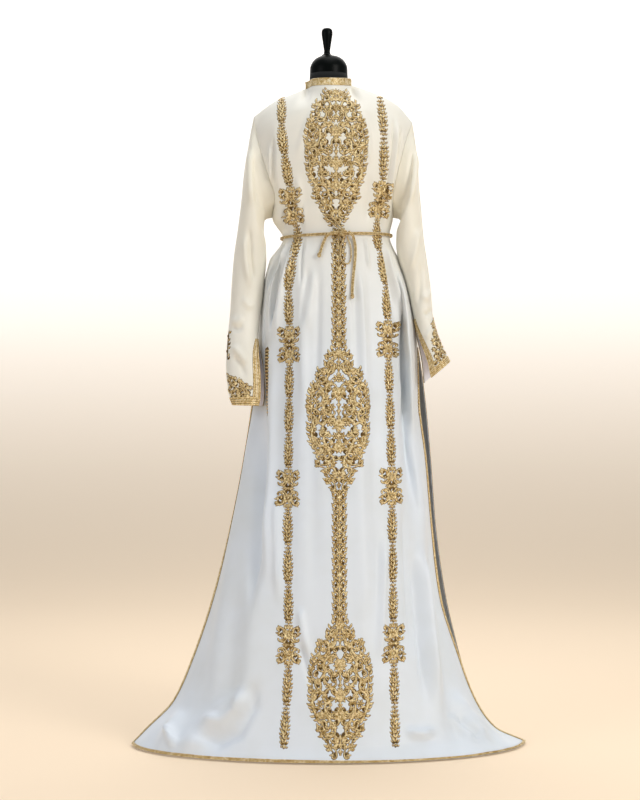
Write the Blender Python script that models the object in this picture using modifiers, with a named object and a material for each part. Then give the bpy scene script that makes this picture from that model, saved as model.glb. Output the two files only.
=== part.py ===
"""Ivory satin Moroccan kaftan on a black limbless dress form, seen in use from behind.

Metres, +Z up. The wearer's back faces -Y, so the wearer's left is -X. The origin is the centre of
the underside of the stand's base. Each cloth piece is a wall worked out from sections: a table gives
a row of sizes for each section, an arc joins its edges, and folds push the arc in and out.
"""
import math

import bmesh
import bpy
import numpy as np

# Cloth, seams and trims
WALL = 0.0018            # thickness of the cloth walls
SEAM = 0.0003            # space between two pieces that are sewn together
TRIM_WIDTH = 0.012       # gold braid on the slits and the hem
TRIM_THICK = 0.0010
MOTIF_THICK = 0.0012     # gold embroidery standing on the cloth
NECK_BAND = 0.0135       # height of the braid round the neck
NECK_GAP = 0.0008        # space between the neck edge and its band, where three walls meet
ARMHOLE_GAP = 0.0009     # space between a sleeve and the edge of its armhole
NECK_LEAN = 0.12         # how far the band leans in for each metre that it rises
EDGE_CORD = 0.0028       # fine braid along the top of the neck band

# Heights and places along the garment
WAIST_Z = 1.1875
HEM_OPENING = 0.030      # how far each front stands from the middle at the hem
SHOULDER_STRIPS = 9      # strips of the back between a side and a neck point
NECK_STRIPS = 10         # strips of the back between its neck points
FRONT_SIDE_STRIPS = 6    # strips of a front between its side and its neck point
FRONT_NECK_STRIPS = 4    # strips of a front between its neck point and its opening
LEFT_NECK_POINT = -0.33  # places of the neck points, as fractions across
RIGHT_NECK_POINT = 0.31

# Shape of a panel near its upper edge, and how its folds fade out
NECK_REACH = 0.34        # place across at which the neck's shape gives way to the shoulder's
OVER_SHOULDER = (0.018, -0.003)  # out and up from the shoulder edge to the next row
UNDER_NECK = (0.005, -0.014)     # out and up from the neck edge to the next row
TOP_STEPS = [0.016, 0.055]       # distances down from the edge to that row and to the first section
TOP_HALF = 0.20          # half width of a panel at its upper edge
BACK_ARC = 1.12          # length of a back section's arc over that of its chord
FRONT_SIDE_ARC = 1.25    # metres across a front near its side, over its half width
FRONT_MIDDLE_ARC = 1.3   # the same near its opening
FOLD_ENDS = (0.12, 0.01)  # how far a fold fades at its ends: a share of its length, plus this
WAIST_REACH = 0.022      # height over which folds are flat at the belt
EDGE_REACH = 0.10        # share of the half width over which folds fade towards an edge
FLOOR_REACH = 0.03       # height over which folds fade towards the floor
RIM_ORDER = (0.37, 0.11, 1.0)    # direction that tells the upper corner of a wall's rim

# Belt, a doubled cord tied behind
BELT_CORD = 0.0067
BELT_TILT = 0.026        # rise of the belt for each metre to the wearer's right
STRAND = 0.0034

# Dress form and its stand
FORM_X = -0.003
FINIAL_X = -0.007
FORM_BOTTOM_Z = 0.87
NECK_TOP_Z = 1.575
POLE_RADIUS = 0.016
BASE_RADIUS = 0.165
BASE_HEIGHT = 0.014

# Upper edge of the back, as fractions across, shared by the front as far as the neck points
TOP_EDGE = {
    "across": (-1.00, -0.84, -0.66, -0.48, -0.33, -0.20, 0.00, 0.20, 0.31, 0.47, 0.64, 0.82, 1.00),
    "x": (-0.181, -0.154, -0.124, -0.088, -0.058, -0.040, 0.000, 0.034, 0.051, 0.086, 0.122, 0.160, 0.195),
    "y": (0.000, 0.000, 0.000, 0.000, 0.000, -0.042, -0.062, -0.042, 0.000, 0.000, 0.000, 0.000, 0.000),
    "z": (1.474, 1.496, 1.515, 1.529, 1.541, 1.542, 1.5405, 1.543, 1.549, 1.538, 1.524, 1.502, 1.462),
}
FRONT_NECK = {
    "across": (-0.33, -0.20, 0.00, 0.20, 0.31),
    "x": (-0.058, -0.050, 0.000, 0.044, 0.051),
    "y": (0.000, 0.054, 0.088, 0.054, 0.000),
    "z": (1.541, 1.500, 1.455, 1.502, 1.549),
}

# A row for each section of the back panel: how many strips lead to it, the depth and height of its
# middle, its left and right edge points, and the half angle of the arc that joins them.
SECTION_COLUMNS = ("strips", "y", "z", "left_x", "left_y", "left_z", "right_x", "right_y", "right_z", "angle")
BACK_SECTIONS = (
    (2, -0.084, 1.485, -0.1745, -0.030, 1.432, 0.1830, -0.030, 1.425, 74),
    (1, -0.097, 1.440, -0.1650, -0.044, 1.392, 0.1730, -0.044, 1.390, 74),
    (1, -0.104, 1.370, -0.1455, -0.052, 1.328, 0.1570, -0.052, 1.328, 74),
    (1, -0.104, 1.300, -0.1300, -0.042, 1.277, 0.1475, -0.042, 1.277, 78),
    (1, -0.101, 1.245, -0.1375, 0.000, 1.2335, 0.1500, 0.000, 1.2335, 88),
    (1, -0.0975, 1.1875, -0.1116, 0.000, 1.1850, 0.1420, 0.000, 1.1910, 88),
    (2, -0.113, 1.130, -0.1358, 0.000, 1.130, 0.1590, 0.000, 1.130, 88),
    (2, -0.132, 1.060, -0.1500, 0.000, 1.060, 0.1755, 0.000, 1.060, 88),
    (2, -0.158, 0.925, -0.1640, 0.000, 0.925, 0.1880, 0.000, 0.925, 86),
    (2, -0.182, 0.800, -0.1810, -0.012, 0.800, 0.2070, -0.010, 0.800, 72),
    (2, -0.208, 0.660, -0.2040, -0.030, 0.660, 0.2280, -0.024, 0.660, 68),
    (2, -0.238, 0.500, -0.2350, -0.050, 0.500, 0.2410, -0.042, 0.500, 68),
    (2, -0.268, 0.340, -0.2745, -0.072, 0.340, 0.2600, -0.060, 0.340, 72),
    (2, -0.298, 0.200, -0.3210, -0.090, 0.200, 0.3020, -0.074, 0.200, 76),
    (1, -0.322, 0.100, -0.3660, -0.104, 0.100, 0.3400, -0.080, 0.100, 80),
    (2, -0.342, 0.038, -0.4250, -0.115, 0.040, 0.3860, -0.084, 0.036, 84),
    (1, -0.362, 0.0038, -0.4600, -0.120, 0.0038, 0.4560, -0.086, 0.0038, 88),
)
FRONT_SECTIONS = (
    (2, 0.096, 1.420, -0.1745, 0.030, 1.432, 0.1830, 0.030, 1.425, 74),
    (1, 0.103, 1.380, -0.1650, 0.044, 1.392, 0.1730, 0.044, 1.390, 74),
    (1, 0.108, 1.330, -0.1455, 0.052, 1.328, 0.1570, 0.052, 1.328, 74),
    (1, 0.106, 1.275, -0.1300, 0.042, 1.277, 0.1475, 0.042, 1.277, 78),
    (1, 0.101, 1.235, -0.1375, 0.000, 1.2335, 0.1500, 0.000, 1.2335, 88),
    (1, 0.0955, 1.1875, -0.1116, 0.000, 1.1850, 0.1420, 0.000, 1.1910, 88),
    (1, 0.108, 1.130, -0.1358, 0.000, 1.130, 0.1590, 0.000, 1.130, 88),
    (2, 0.122, 1.060, -0.1500, 0.000, 1.060, 0.1755, 0.000, 1.060, 88),
    (2, 0.138, 0.925, -0.1640, 0.000, 0.925, 0.1880, 0.000, 0.925, 86),
    (2, 0.150, 0.800, -0.1760, 0.010, 0.800, 0.2110, 0.012, 0.800, 80),
    (2, 0.160, 0.660, -0.1900, 0.018, 0.660, 0.2360, 0.014, 0.660, 80),
    (2, 0.168, 0.500, -0.2050, 0.024, 0.500, 0.2520, 0.012, 0.500, 80),
    (2, 0.176, 0.340, -0.2220, 0.030, 0.340, 0.2740, 0.006, 0.340, 80),
    (1, 0.184, 0.200, -0.2400, 0.034, 0.200, 0.3060, 0.000, 0.200, 82),
    (1, 0.194, 0.060, -0.2580, 0.037, 0.060, 0.3450, -0.006, 0.060, 84),
    (1, 0.198, 0.012, -0.2640, 0.038, 0.012, 0.3560, -0.008, 0.012, 84),
)
UNDERARM_SECTION = 4     # the section at which the armhole ends and the side seam starts
SLIT_SECTION = 8         # the section at which the side seam ends and the slit starts

# Folds: place across at the upper and lower end, heights of the two ends, half width, push out
FOLD_COLUMNS = ("upper_x", "lower_x", "upper_z", "lower_z", "width", "push")
BACK_FOLDS = (
    (-0.098, -0.132, 1.165, 0.960, 0.010, 0.008),
    (-0.112, -0.150, 1.165, 0.900, 0.008, -0.007),
    (0.118, 0.150, 1.165, 0.960, 0.010, 0.007),
    (0.130, 0.168, 1.165, 0.820, 0.008, -0.008),
    (-0.056, -0.064, 1.150, 0.300, 0.018, 0.006),
    (-0.038, -0.040, 1.150, 0.420, 0.014, -0.005),
    (-0.022, -0.026, 1.120, 0.560, 0.013, 0.004),
    (0.060, 0.078, 1.150, 0.280, 0.018, 0.006),
    (0.084, 0.106, 1.130, 0.400, 0.016, -0.006),
    (-0.137, -0.152, 1.120, 0.760, 0.013, 0.008),
    (-0.157, -0.171, 0.860, 0.400, 0.018, -0.014),
    (-0.190, -0.262, 0.760, 0.160, 0.022, 0.010),
    (-0.150, -0.190, 0.560, 0.050, 0.026, 0.012),
    (0.172, 0.200, 0.980, 0.420, 0.016, -0.012),
    (0.196, 0.247, 0.620, 0.050, 0.020, 0.014),
    (0.220, 0.282, 0.480, 0.040, 0.018, -0.010),
    (-0.215, -0.330, 0.130, 0.006, 0.024, 0.016),
    (-0.345, -0.385, 0.080, 0.010, 0.016, 0.012),
    (0.285, 0.355, 0.120, 0.010, 0.020, 0.014),
    (0.325, 0.400, 0.070, 0.010, 0.014, 0.010),
    (-0.122, -0.112, 1.440, 1.230, 0.012, 0.006),
    (0.140, 0.128, 1.450, 1.230, 0.014, 0.007),
    (0.124, 0.118, 1.430, 1.240, 0.010, -0.005),
)
FRONT_FOLDS = (
    (-0.096, -0.150, 1.165, 0.500, 0.014, 0.008),
    (-0.070, -0.108, 1.165, 0.080, 0.018, 0.009),
    (-0.040, -0.055, 1.150, 0.120, 0.016, -0.008),
    (-0.125, -0.190, 1.120, 0.060, 0.020, -0.010),
    (0.062, 0.085, 1.150, 0.120, 0.016, -0.008),
    (0.092, 0.140, 1.165, 0.080, 0.018, 0.009),
    (0.118, 0.185, 1.165, 0.400, 0.014, 0.008),
    (0.150, 0.255, 1.120, 0.060, 0.022, -0.011),
)

# Sleeves: outer and inner point of each ring as seen from behind, its depth, and half of its depth
# across. The first ring is the armhole itself. The slit opens by the last column, in degrees.
RING_COLUMNS = ("outer_x", "outer_z", "inner_x", "inner_z", "y", "half_y", "slit")
LEFT_RINGS = (
    (-0.1890, 1.438, -0.1510, 1.2310, 0.000, 0.054, 0),
    (-0.1975, 1.385, -0.1555, 1.2260, -0.006, 0.059, 0),
    (-0.2055, 1.330, -0.1570, 1.2000, -0.011, 0.057, 0),
    (-0.2110, 1.270, -0.1520, 1.1700, -0.016, 0.051, 0),
    (-0.2190, 1.205, -0.1510, 1.1350, -0.018, 0.046, 0),
    (-0.2280, 1.140, -0.1540, 1.0950, -0.020, 0.043, 0),
    (-0.2330, 1.075, -0.1580, 1.0500, -0.024, 0.041, 0),
    (-0.2365, 1.010, -0.1650, 1.0000, -0.030, 0.040, 0),
    (-0.2415, 0.953, -0.1700, 0.9480, -0.044, 0.038, 0),
    (-0.2425, 0.938, -0.1695, 0.9320, -0.049, 0.037, 0),
    (-0.2435, 0.917, -0.1660, 0.9090, -0.056, 0.036, 30),
    (-0.2445, 0.890, -0.1610, 0.8800, -0.063, 0.035, 44),
    (-0.2440, 0.862, -0.1585, 0.8500, -0.070, 0.034, 46),
    (-0.2400, 0.830, -0.1575, 0.8180, -0.075, 0.033, 46),
    (-0.2350, 0.806, -0.1580, 0.7990, -0.078, 0.032, 48),
    (-0.2280, 0.788, -0.1600, 0.7860, -0.080, 0.031, 50),
)
RIGHT_RINGS = (
    (0.2020, 1.425, 0.1640, 1.2310, 0.000, 0.054, 0),
    (0.2080, 1.370, 0.1680, 1.2250, -0.006, 0.059, 0),
    (0.2120, 1.310, 0.1680, 1.2000, -0.011, 0.057, 0),
    (0.2170, 1.250, 0.1620, 1.1700, -0.016, 0.051, 0),
    (0.2220, 1.190, 0.1640, 1.1350, -0.018, 0.046, 0),
    (0.2310, 1.125, 0.1740, 1.0950, -0.020, 0.043, 0),
    (0.2390, 1.060, 0.1870, 1.0450, -0.024, 0.040, 0),
    (0.2430, 1.005, 0.1980, 0.9960, -0.030, 0.038, 0),
    (0.2460, 0.984, 0.2020, 0.9740, -0.033, 0.038, 0),
    (0.2520, 0.960, 0.2060, 0.9480, -0.037, 0.038, 24),
    (0.2600, 0.938, 0.2140, 0.9150, -0.042, 0.040, 34),
    (0.2680, 0.920, 0.2200, 0.8850, -0.048, 0.041, 40),
    (0.2755, 0.904, 0.2230, 0.8600, -0.052, 0.041, 44),
    (0.2820, 0.890, 0.2260, 0.8400, -0.056, 0.040, 46),
)
EVEN_RING = 5            # the ring from which a sleeve's columns are evenly spaced round it
CUFF_BAND_RINGS = 1      # strips of the sleeve that the braid at its mouth covers

# Embroidery: half width of a medallion at heights from its lower end (0) to its upper end (1)
MEDALLION_HEIGHTS = (0.00, 0.05, 0.16, 0.24, 0.29, 0.36, 0.48, 0.60, 0.70, 0.77, 0.84, 0.93, 1.00)
UPPER_HALF_WIDTHS = (0.008, 0.018, 0.032, 0.046, 0.056, 0.070, 0.074, 0.075, 0.073, 0.062, 0.050, 0.036,
                     0.024)
MIDDLE_HALF_WIDTHS = (0.010, 0.022, 0.036, 0.050, 0.066, 0.072, 0.074, 0.074, 0.072, 0.056, 0.040, 0.024,
                      0.014)
MEDALLIONS = (
    ("medallion_upper", 0.0135, 1.2010, 1.5310, UPPER_HALF_WIDTHS),
    ("medallion_middle", 0.0190, 0.5970, 0.9180, MIDDLE_HALF_WIDTHS),
    ("medallion_lower", 0.0210, 0.0260, 0.2930, MIDDLE_HALF_WIDTHS),
)
COLUMNS = (
    ("column_upper", 0.0195, 0.9186, 1.1720),
    ("column_lower", 0.0200, 0.2936, 0.5964),
)
COLUMN_HALF_WIDTH = 0.017
LINK_LENGTH = 0.083
LINK_HALF_WIDTH = 0.0112
NECK_HALF_WIDTH = 0.0035
CARTOUCHE_LENGTH = 0.088
SIDE_LOW_Z = 0.030
LEFT_PATH = {
    "z": (1.520, 1.440, 1.375, 1.310, 1.240, 1.187, 1.140, 1.050, 0.925, 0.590, 0.240, 0.030),
    "x": (-0.115, -0.113, -0.106, -0.096, -0.087, -0.076, -0.083, -0.096, -0.094, -0.096, -0.094, -0.104),
}
RIGHT_PATH = {
    "z": (1.520, 1.440, 1.375, 1.310, 1.240, 1.187, 1.140, 1.050, 0.925, 0.590, 0.240, 0.030),
    "x": (0.118, 0.124, 0.126, 0.124, 0.113, 0.110, 0.117, 0.130, 0.135, 0.141, 0.142, 0.143),
}
LEFT_CARTOUCHES = ((1.255, 0.029), (0.928, 0.031), (0.598, 0.031), (0.252, 0.031))
RIGHT_CARTOUCHES = ((1.269, 0.023), (0.941, 0.031), (0.603, 0.031), (0.252, 0.031))

# Ribbed braid at the top of each slit
LADDER_LEFT_X = -0.1445
LADDER_RIGHT_X = 0.1760
LADDER_WIDTH = 0.011
LADDER_LOW_Z = 0.767
LADDER_HIGH_Z = 0.918

# Scroll embroidery on the cuffs, as outlines across and up, on the half that faces back
LEFT_CUFF_MOTIF = ((-0.2460, 0.862), (-0.2360, 0.853), (-0.2200, 0.834), (-0.2050, 0.826),
                   (-0.1880, 0.818), (-0.1880, 0.8045), (-0.2360, 0.8115), (-0.2460, 0.8200))
RIGHT_CUFF_MOTIF = ((0.2430, 0.985), (0.2577, 0.947), (0.2760, 0.914), (0.2554, 0.901),
                    (0.2405, 0.887), (0.2405, 0.930))

# Knots that close the front, from the neck to the belt
KNOTS = 14
KNOT_LOW_Z = 1.215
KNOT_HIGH_Z = 1.440
KNOT_RADIUS = 0.0046

# Free cords of the bow: points across and up, chosen by eye, which then lie on the back panel
TAIL_LEFT = ((0.0190, 1.1900), (0.0060, 1.1890), (-0.0052, 1.1810), (-0.0122, 1.1710),
             (-0.0168, 1.1598), (-0.0203, 1.1480), (-0.0229, 1.1400))
TAIL_RIGHT = ((0.0400, 1.1920), (0.0505, 1.1800), (0.0552, 1.1660), (0.0568, 1.1505), (0.0565, 1.1340),
              (0.0551, 1.1180), (0.0530, 1.0980), (0.0512, 1.0769), (0.0500, 1.0600), (0.0496, 1.0440))
LOOP_LOWER = ((0.0330, 1.1790), (0.0280, 1.1690), (0.0240, 1.1520), (0.0226, 1.1373), (0.0248, 1.1260),
              (0.0310, 1.1170), (0.0390, 1.1140), (0.0450, 1.1200), (0.0472, 1.1340), (0.0470, 1.1505),
              (0.0430, 1.1680), (0.0385, 1.1790))
LOOP_UPPER = ((0.0230, 1.1960), (0.0130, 1.2050), (0.0020, 1.2150), (-0.0070, 1.2220), (-0.0110, 1.2290),
              (-0.0060, 1.2320), (0.0040, 1.2260), (0.0140, 1.2150), (0.0230, 1.2040), (0.0290, 1.1970))
KNOT_CENTRE = (0.0290, 1.1880)
END_KNOTS = (("end_knot_left", -0.02465, 1.13455), ("end_knot_right", 0.04944, 1.0378))
CORD_SEAT = 0.0010       # space between the bow's cords and the embroidery under them
BELT_SEAT = 0.0006       # space between the belt and that embroidery
BELT_REACH = 0.0125      # height above and below the belt over which the bow rises over it
BELT_CLEAR = 0.0012      # how much more than the belt's thickness the bow rises
KNOT_RISE = 0.0068       # from there to the middle of the bow's knot
BOW_KNOT = (0.0105, 0.0062, 0.0085)      # half sizes of the bow's knot
END_KNOT = (0.0048, 0.0045, 0.0062)      # half sizes of the knots at the cords' ends

FORM_SECTIONS = {
    "z": (0.870, 0.900, 0.960, 1.040, 1.110, 1.180, 1.260,
          1.340, 1.445, 1.472, 1.495, 1.515, 1.535, 1.575),
    "half_x": (0.128, 0.137, 0.143, 0.136, 0.118, 0.101, 0.110,
               0.122, 0.136, 0.118, 0.084, 0.058, 0.047, 0.045),
    "back_y": (0.090, 0.098, 0.104, 0.100, 0.088, 0.078, 0.083,
               0.088, 0.072, 0.060, 0.050, 0.046, 0.045, 0.045),
    "front_y": (0.086, 0.090, 0.094, 0.090, 0.082, 0.076, 0.084,
                0.094, 0.064, 0.050, 0.044, 0.043, 0.044, 0.045),
}

SATIN = ("satin", (0.84, 0.82, 0.76), 0.42, 0.0)
SLEEVE_SATIN = ("sleeve satin", (0.86, 0.82, 0.73), 0.42, 0.0)
BRAID = ("gold braid", (0.64, 0.44, 0.17), 0.40, 0.6)
EMBROIDERY = ("gold embroidery", (0.52, 0.32, 0.09), 0.36, 0.7)
CORD = ("belt cord", (0.60, 0.45, 0.22), 0.45, 0.4)
JERSEY = ("black jersey", (0.006, 0.009, 0.009), 0.75, 0.0)
LACQUER = ("black lacquered wood", (0.006, 0.009, 0.009), 0.35, 0.0)


def smooth(keys, values, where):
    """Cubic through the table's points that never overshoots: a point's slope is the harmonic mean
    of the slopes to its two neighbours, and zero where they differ in sign."""
    keys = np.asarray(keys, float)
    values = np.asarray(values, float)
    where = np.clip(np.asarray(where, float), keys[0], keys[-1])
    steps = np.diff(keys).reshape((-1,) + (1,) * (values.ndim - 1))
    secants = np.diff(values, axis=0) / steps
    product = secants[1:] * secants[:-1]
    total = np.where(product > 0, secants[1:] + secants[:-1], 1.0)
    slopes = np.concatenate((secants[:1], np.where(product > 0, 2 * product / total, 0.0), secants[-1:]))
    index = np.clip(np.searchsorted(keys, where, side="right") - 1, 0, len(keys) - 2)
    span = keys[index + 1] - keys[index]
    part = (where - keys[index]) / span
    shape = part.shape + (1,) * (values.ndim - 1)
    part = part.reshape(shape)
    span = span.reshape(shape)
    return ((1 + 2 * part) * (1 - part) ** 2 * values[index] + part * (1 - part) ** 2 * span * slopes[index]
            + part ** 2 * (3 - 2 * part) * values[index + 1]
            + part ** 2 * (part - 1) * span * slopes[index + 1])


def unit(vectors):
    """Vectors scaled to length one."""
    return vectors / np.linalg.norm(vectors, axis=-1, keepdims=True)


def arc_row(section, across):
    """Points of one section: a circular arc squeezed between its two edges and its middle."""
    row = dict(zip(SECTION_COLUMNS, section))
    limit = math.radians(row["angle"])
    side = np.sin(across * limit) / math.sin(limit)
    lift = (1 - np.cos(across * limit)) / (1 - math.cos(limit))
    middle_x = (row["left_x"] + row["right_x"]) / 2
    half = (row["right_x"] - row["left_x"]) / 2
    edge_y = np.where(across < 0, row["left_y"], row["right_y"])
    edge_z = np.where(across < 0, row["left_z"], row["right_z"])
    return np.stack((middle_x + half * side, row["y"] + (edge_y - row["y"]) * lift,
                     row["z"] + (edge_z - row["z"]) * lift), axis=-1)


def top_row(across, front):
    """Upper edge of a panel: the shoulder seams, and between them the back or front neckline."""
    edge = np.stack([smooth(TOP_EDGE["across"], TOP_EDGE[axis], across) for axis in "xyz"], axis=-1)
    if not front:
        return edge
    neck = np.stack([smooth(FRONT_NECK["across"], FRONT_NECK[axis], across) for axis in "xyz"], axis=-1)
    inside = (across > FRONT_NECK["across"][0]) & (across < FRONT_NECK["across"][-1])
    return np.where(inside[..., None], neck, edge)


def section_rows(across, front):
    """All rows of a panel, from its upper edge to its hem, and the distance down to each."""
    top = top_row(across, front)
    outward = 1 if front else -1
    neck = np.exp(-(across / NECK_REACH) ** 6)[..., None]
    over_shoulder = np.array((0.0, outward * OVER_SHOULDER[0], OVER_SHOULDER[1]))
    under_neck = np.array((0.0, outward * UNDER_NECK[0], UNDER_NECK[1]))
    rows = [top, top + neck * under_neck + (1 - neck) * over_shoulder]
    sections = FRONT_SECTIONS if front else BACK_SECTIONS
    for section in sections:
        rows.append(arc_row(section, across))
    middle = [arc_row(section, np.zeros(1))[0] for section in sections]
    steps = TOP_STEPS + [float(np.linalg.norm(b - a)) for a, b in zip(middle, middle[1:])]
    return np.array(rows), np.concatenate(((0.0,), np.cumsum(steps)))


def section_keys(front):
    """Distance down a panel, along its middle, to each of its rows."""
    return section_rows(np.zeros(1), front)[1]


def fold_push(points, across, sections, folds):
    """How far the folds push each point out: each fold is a soft ridge along a slanting line."""
    z = points[..., 2]
    push = np.zeros_like(z)
    keys = [-section[2] for section in sections]
    middle = smooth(keys, [(s[3] + s[6]) / 2 for s in sections], -z)
    half = smooth(keys, [(s[6] - s[3]) / 2 for s in sections], -z)
    limit = np.radians(smooth(keys, [s[9] for s in sections], -z))
    for fold in folds:
        row = dict(zip(FOLD_COLUMNS, fold))
        down = np.clip((row["upper_z"] - z) / (row["upper_z"] - row["lower_z"]), 0, 1)
        line_x = row["upper_x"] + (row["lower_x"] - row["upper_x"]) * down
        share = np.clip((line_x - middle) / half, -0.97, 0.97)
        line_across = np.arcsin(share * np.sin(limit)) / limit
        width = row["width"] / half / np.cos(line_across * limit) ** 0.5
        reach = FOLD_ENDS[0] * (row["upper_z"] - row["lower_z"]) + FOLD_ENDS[1]
        ends = np.clip((row["upper_z"] + reach - z) / (2 * reach), 0, 1)
        ends = ends * np.clip((z - row["lower_z"] + reach) / (2 * reach), 0, 1)
        push += row["push"] * np.exp(-((across - line_across) / width) ** 2) * ends * ends * (3 - 2 * ends)
    off_waist = 1 - np.exp(-((z - WAIST_Z) / WAIST_REACH) ** 2)
    off_edge = np.clip((1 - np.abs(across)) / EDGE_REACH, 0, 1)
    off_floor = np.clip(z / FLOOR_REACH, 0, 1)
    return push * off_waist * off_edge * off_floor


def panel(across, front, downs):
    """Grid of a panel's points at given places across and down, with its folds."""
    rows, keys = section_rows(across, front)
    points = smooth(keys, rows, downs)
    sections = FRONT_SECTIONS if front else BACK_SECTIONS
    push = fold_push(points, np.broadcast_to(across, points.shape[:2]), sections,
                     FRONT_FOLDS if front else BACK_FOLDS)
    return points + grid_normals(points, front) * push[..., None]


def grid_normals(points, flip):
    """Outward unit normals of a grid, from its differences down and across."""
    down = np.gradient(points, axis=0)
    across = np.gradient(points, axis=1)
    return unit(np.cross(across, down) if flip else np.cross(down, across))


def panel_downs(front):
    """Distances down a panel at which its grid has a row, and the row of each section. The last
    strip is as wide as the hem's trim."""
    sections = FRONT_SECTIONS if front else BACK_SECTIONS
    keys = section_keys(front)
    downs = [0.0, keys[1]]
    marks = []
    for index, section in enumerate(sections):
        start = keys[index + 1]
        for step in range(section[0]):
            downs.append(start + (keys[index + 2] - start) * (step + 1) / section[0])
        marks.append(len(downs) - 1)
    downs.insert(-1, downs[-1] - TRIM_WIDTH)
    marks[-1] += 1
    return np.array(downs), marks


def thicken(name, points, normals, faces, low, high, material, collection):
    """A closed wall on a sheet of triangles: one skin moved out by high, one by low, and a rim. Each
    rim's diagonal runs from its upper corner, so that the rims on both sides of a seam are parallel."""
    count = len(points)
    faces = np.asarray(faces)
    outer = points + normals * high
    inner = points + normals * low
    sides = np.concatenate((faces[:, (0, 1)], faces[:, (1, 2)], faces[:, (2, 0)]))
    both_ways = {tuple(side) for side in sides.tolist()}
    order = points @ np.array(RIM_ORDER)
    rim = []
    for a, b in sides.tolist():
        if (b, a) in both_ways:
            continue
        if order[a] > order[b]:
            rim += [(b, a, b + count), (a, a + count, b + count)]
        else:
            rim += [(b, a, a + count), (b, a + count, b + count)]
    mesh = bpy.data.meshes.new(name)
    everything = faces.tolist() + (faces[:, ::-1] + count).tolist() + rim
    mesh.from_pydata(np.concatenate((outer, inner)).tolist(), [], everything)
    return finish(bpy.data.objects.new(name, mesh), material, collection, 40)


def finish(item, material, collection, sharp_degrees):
    """Put an object in its collection with its material, loose points removed and ends triangulated."""
    if item.type == "MESH":
        work = bmesh.new()
        work.from_mesh(item.data)
        loose = [vert for vert in work.verts if not vert.link_faces]
        bmesh.ops.delete(work, geom=loose, context="VERTS")
        work.to_mesh(item.data)
        work.free()
        item.data.shade_smooth()
        item.data.set_sharp_from_angle(angle=math.radians(sharp_degrees))
    item.data.materials.append(make_material(*material))
    collection.objects.link(item)
    return item


def make_material(name, colour, roughness, metallic):
    """One Principled material, made once and then shared."""
    found = bpy.data.materials.get(name)
    if found:
        return found
    material = bpy.data.materials.new(name)
    material.use_nodes = True
    shader = material.node_tree.nodes["Principled BSDF"]
    shader.inputs["Base Color"].default_value = (*colour, 1.0)
    shader.inputs["Roughness"].default_value = roughness
    shader.inputs["Metallic"].default_value = metallic
    return material


def grid_faces(rows, columns, keep=None, flip=False, ids=None):
    """Two triangles for each cell of a grid that keep allows, always cut along the same diagonal."""
    ids = np.arange(rows * columns).reshape(rows, columns) if ids is None else ids
    faces = []
    for row in range(rows - 1):
        for column in range(columns - 1):
            if keep is not None and not keep(row, column):
                continue
            a, b = ids[row, column], ids[row + 1, column]
            c, d = ids[row + 1, column + 1], ids[row, column + 1]
            for face in ((a, b, c), (a, c, d)):
                if len(set(face)) == 3:
                    faces.append(face[::-1] if flip else face)
    return faces


def back_across(downs):
    """Places across the back for each row: the outermost strip at each edge is as wide as the trim."""
    left = np.linspace(-1, LEFT_NECK_POINT, SHOULDER_STRIPS)
    neck = np.linspace(LEFT_NECK_POINT, RIGHT_NECK_POINT, NECK_STRIPS + 1)
    right = np.linspace(RIGHT_NECK_POINT, 1, SHOULDER_STRIPS)
    inner = np.concatenate((left, neck[1:-1], right))
    half_lengths = [0.5 * math.hypot(s[6] - s[3], 2 * (s[4] - s[1])) * BACK_ARC for s in BACK_SECTIONS]
    strip = TRIM_WIDTH / smooth(section_keys(False), [TOP_HALF, TOP_HALF] + half_lengths, downs)
    places = np.empty((len(downs), len(inner) + 2))
    places[:, 1:-1] = inner
    places[:, 0] = -1
    places[:, -1] = 1
    places[:, 1] = -1 + strip
    places[:, -2] = 1 - strip
    return places


def back_grid():
    """The back panel's points, outward normals and section rows, with one last strip for the hem trim."""
    downs, marks = panel_downs(False)
    places = back_across(downs)
    points = np.empty(places.shape + (3,))
    for index, down in enumerate(downs):
        rows, keys = section_rows(places[index], False)
        points[index] = smooth(keys, rows, down)
    push = fold_push(points, places, BACK_SECTIONS, BACK_FOLDS)
    points = points + grid_normals(points, False) * push[..., None]
    normals = grid_normals(points, False)
    seam_normals(points, normals, marks, (0, -1), places[0])
    return points, normals, marks


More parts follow.
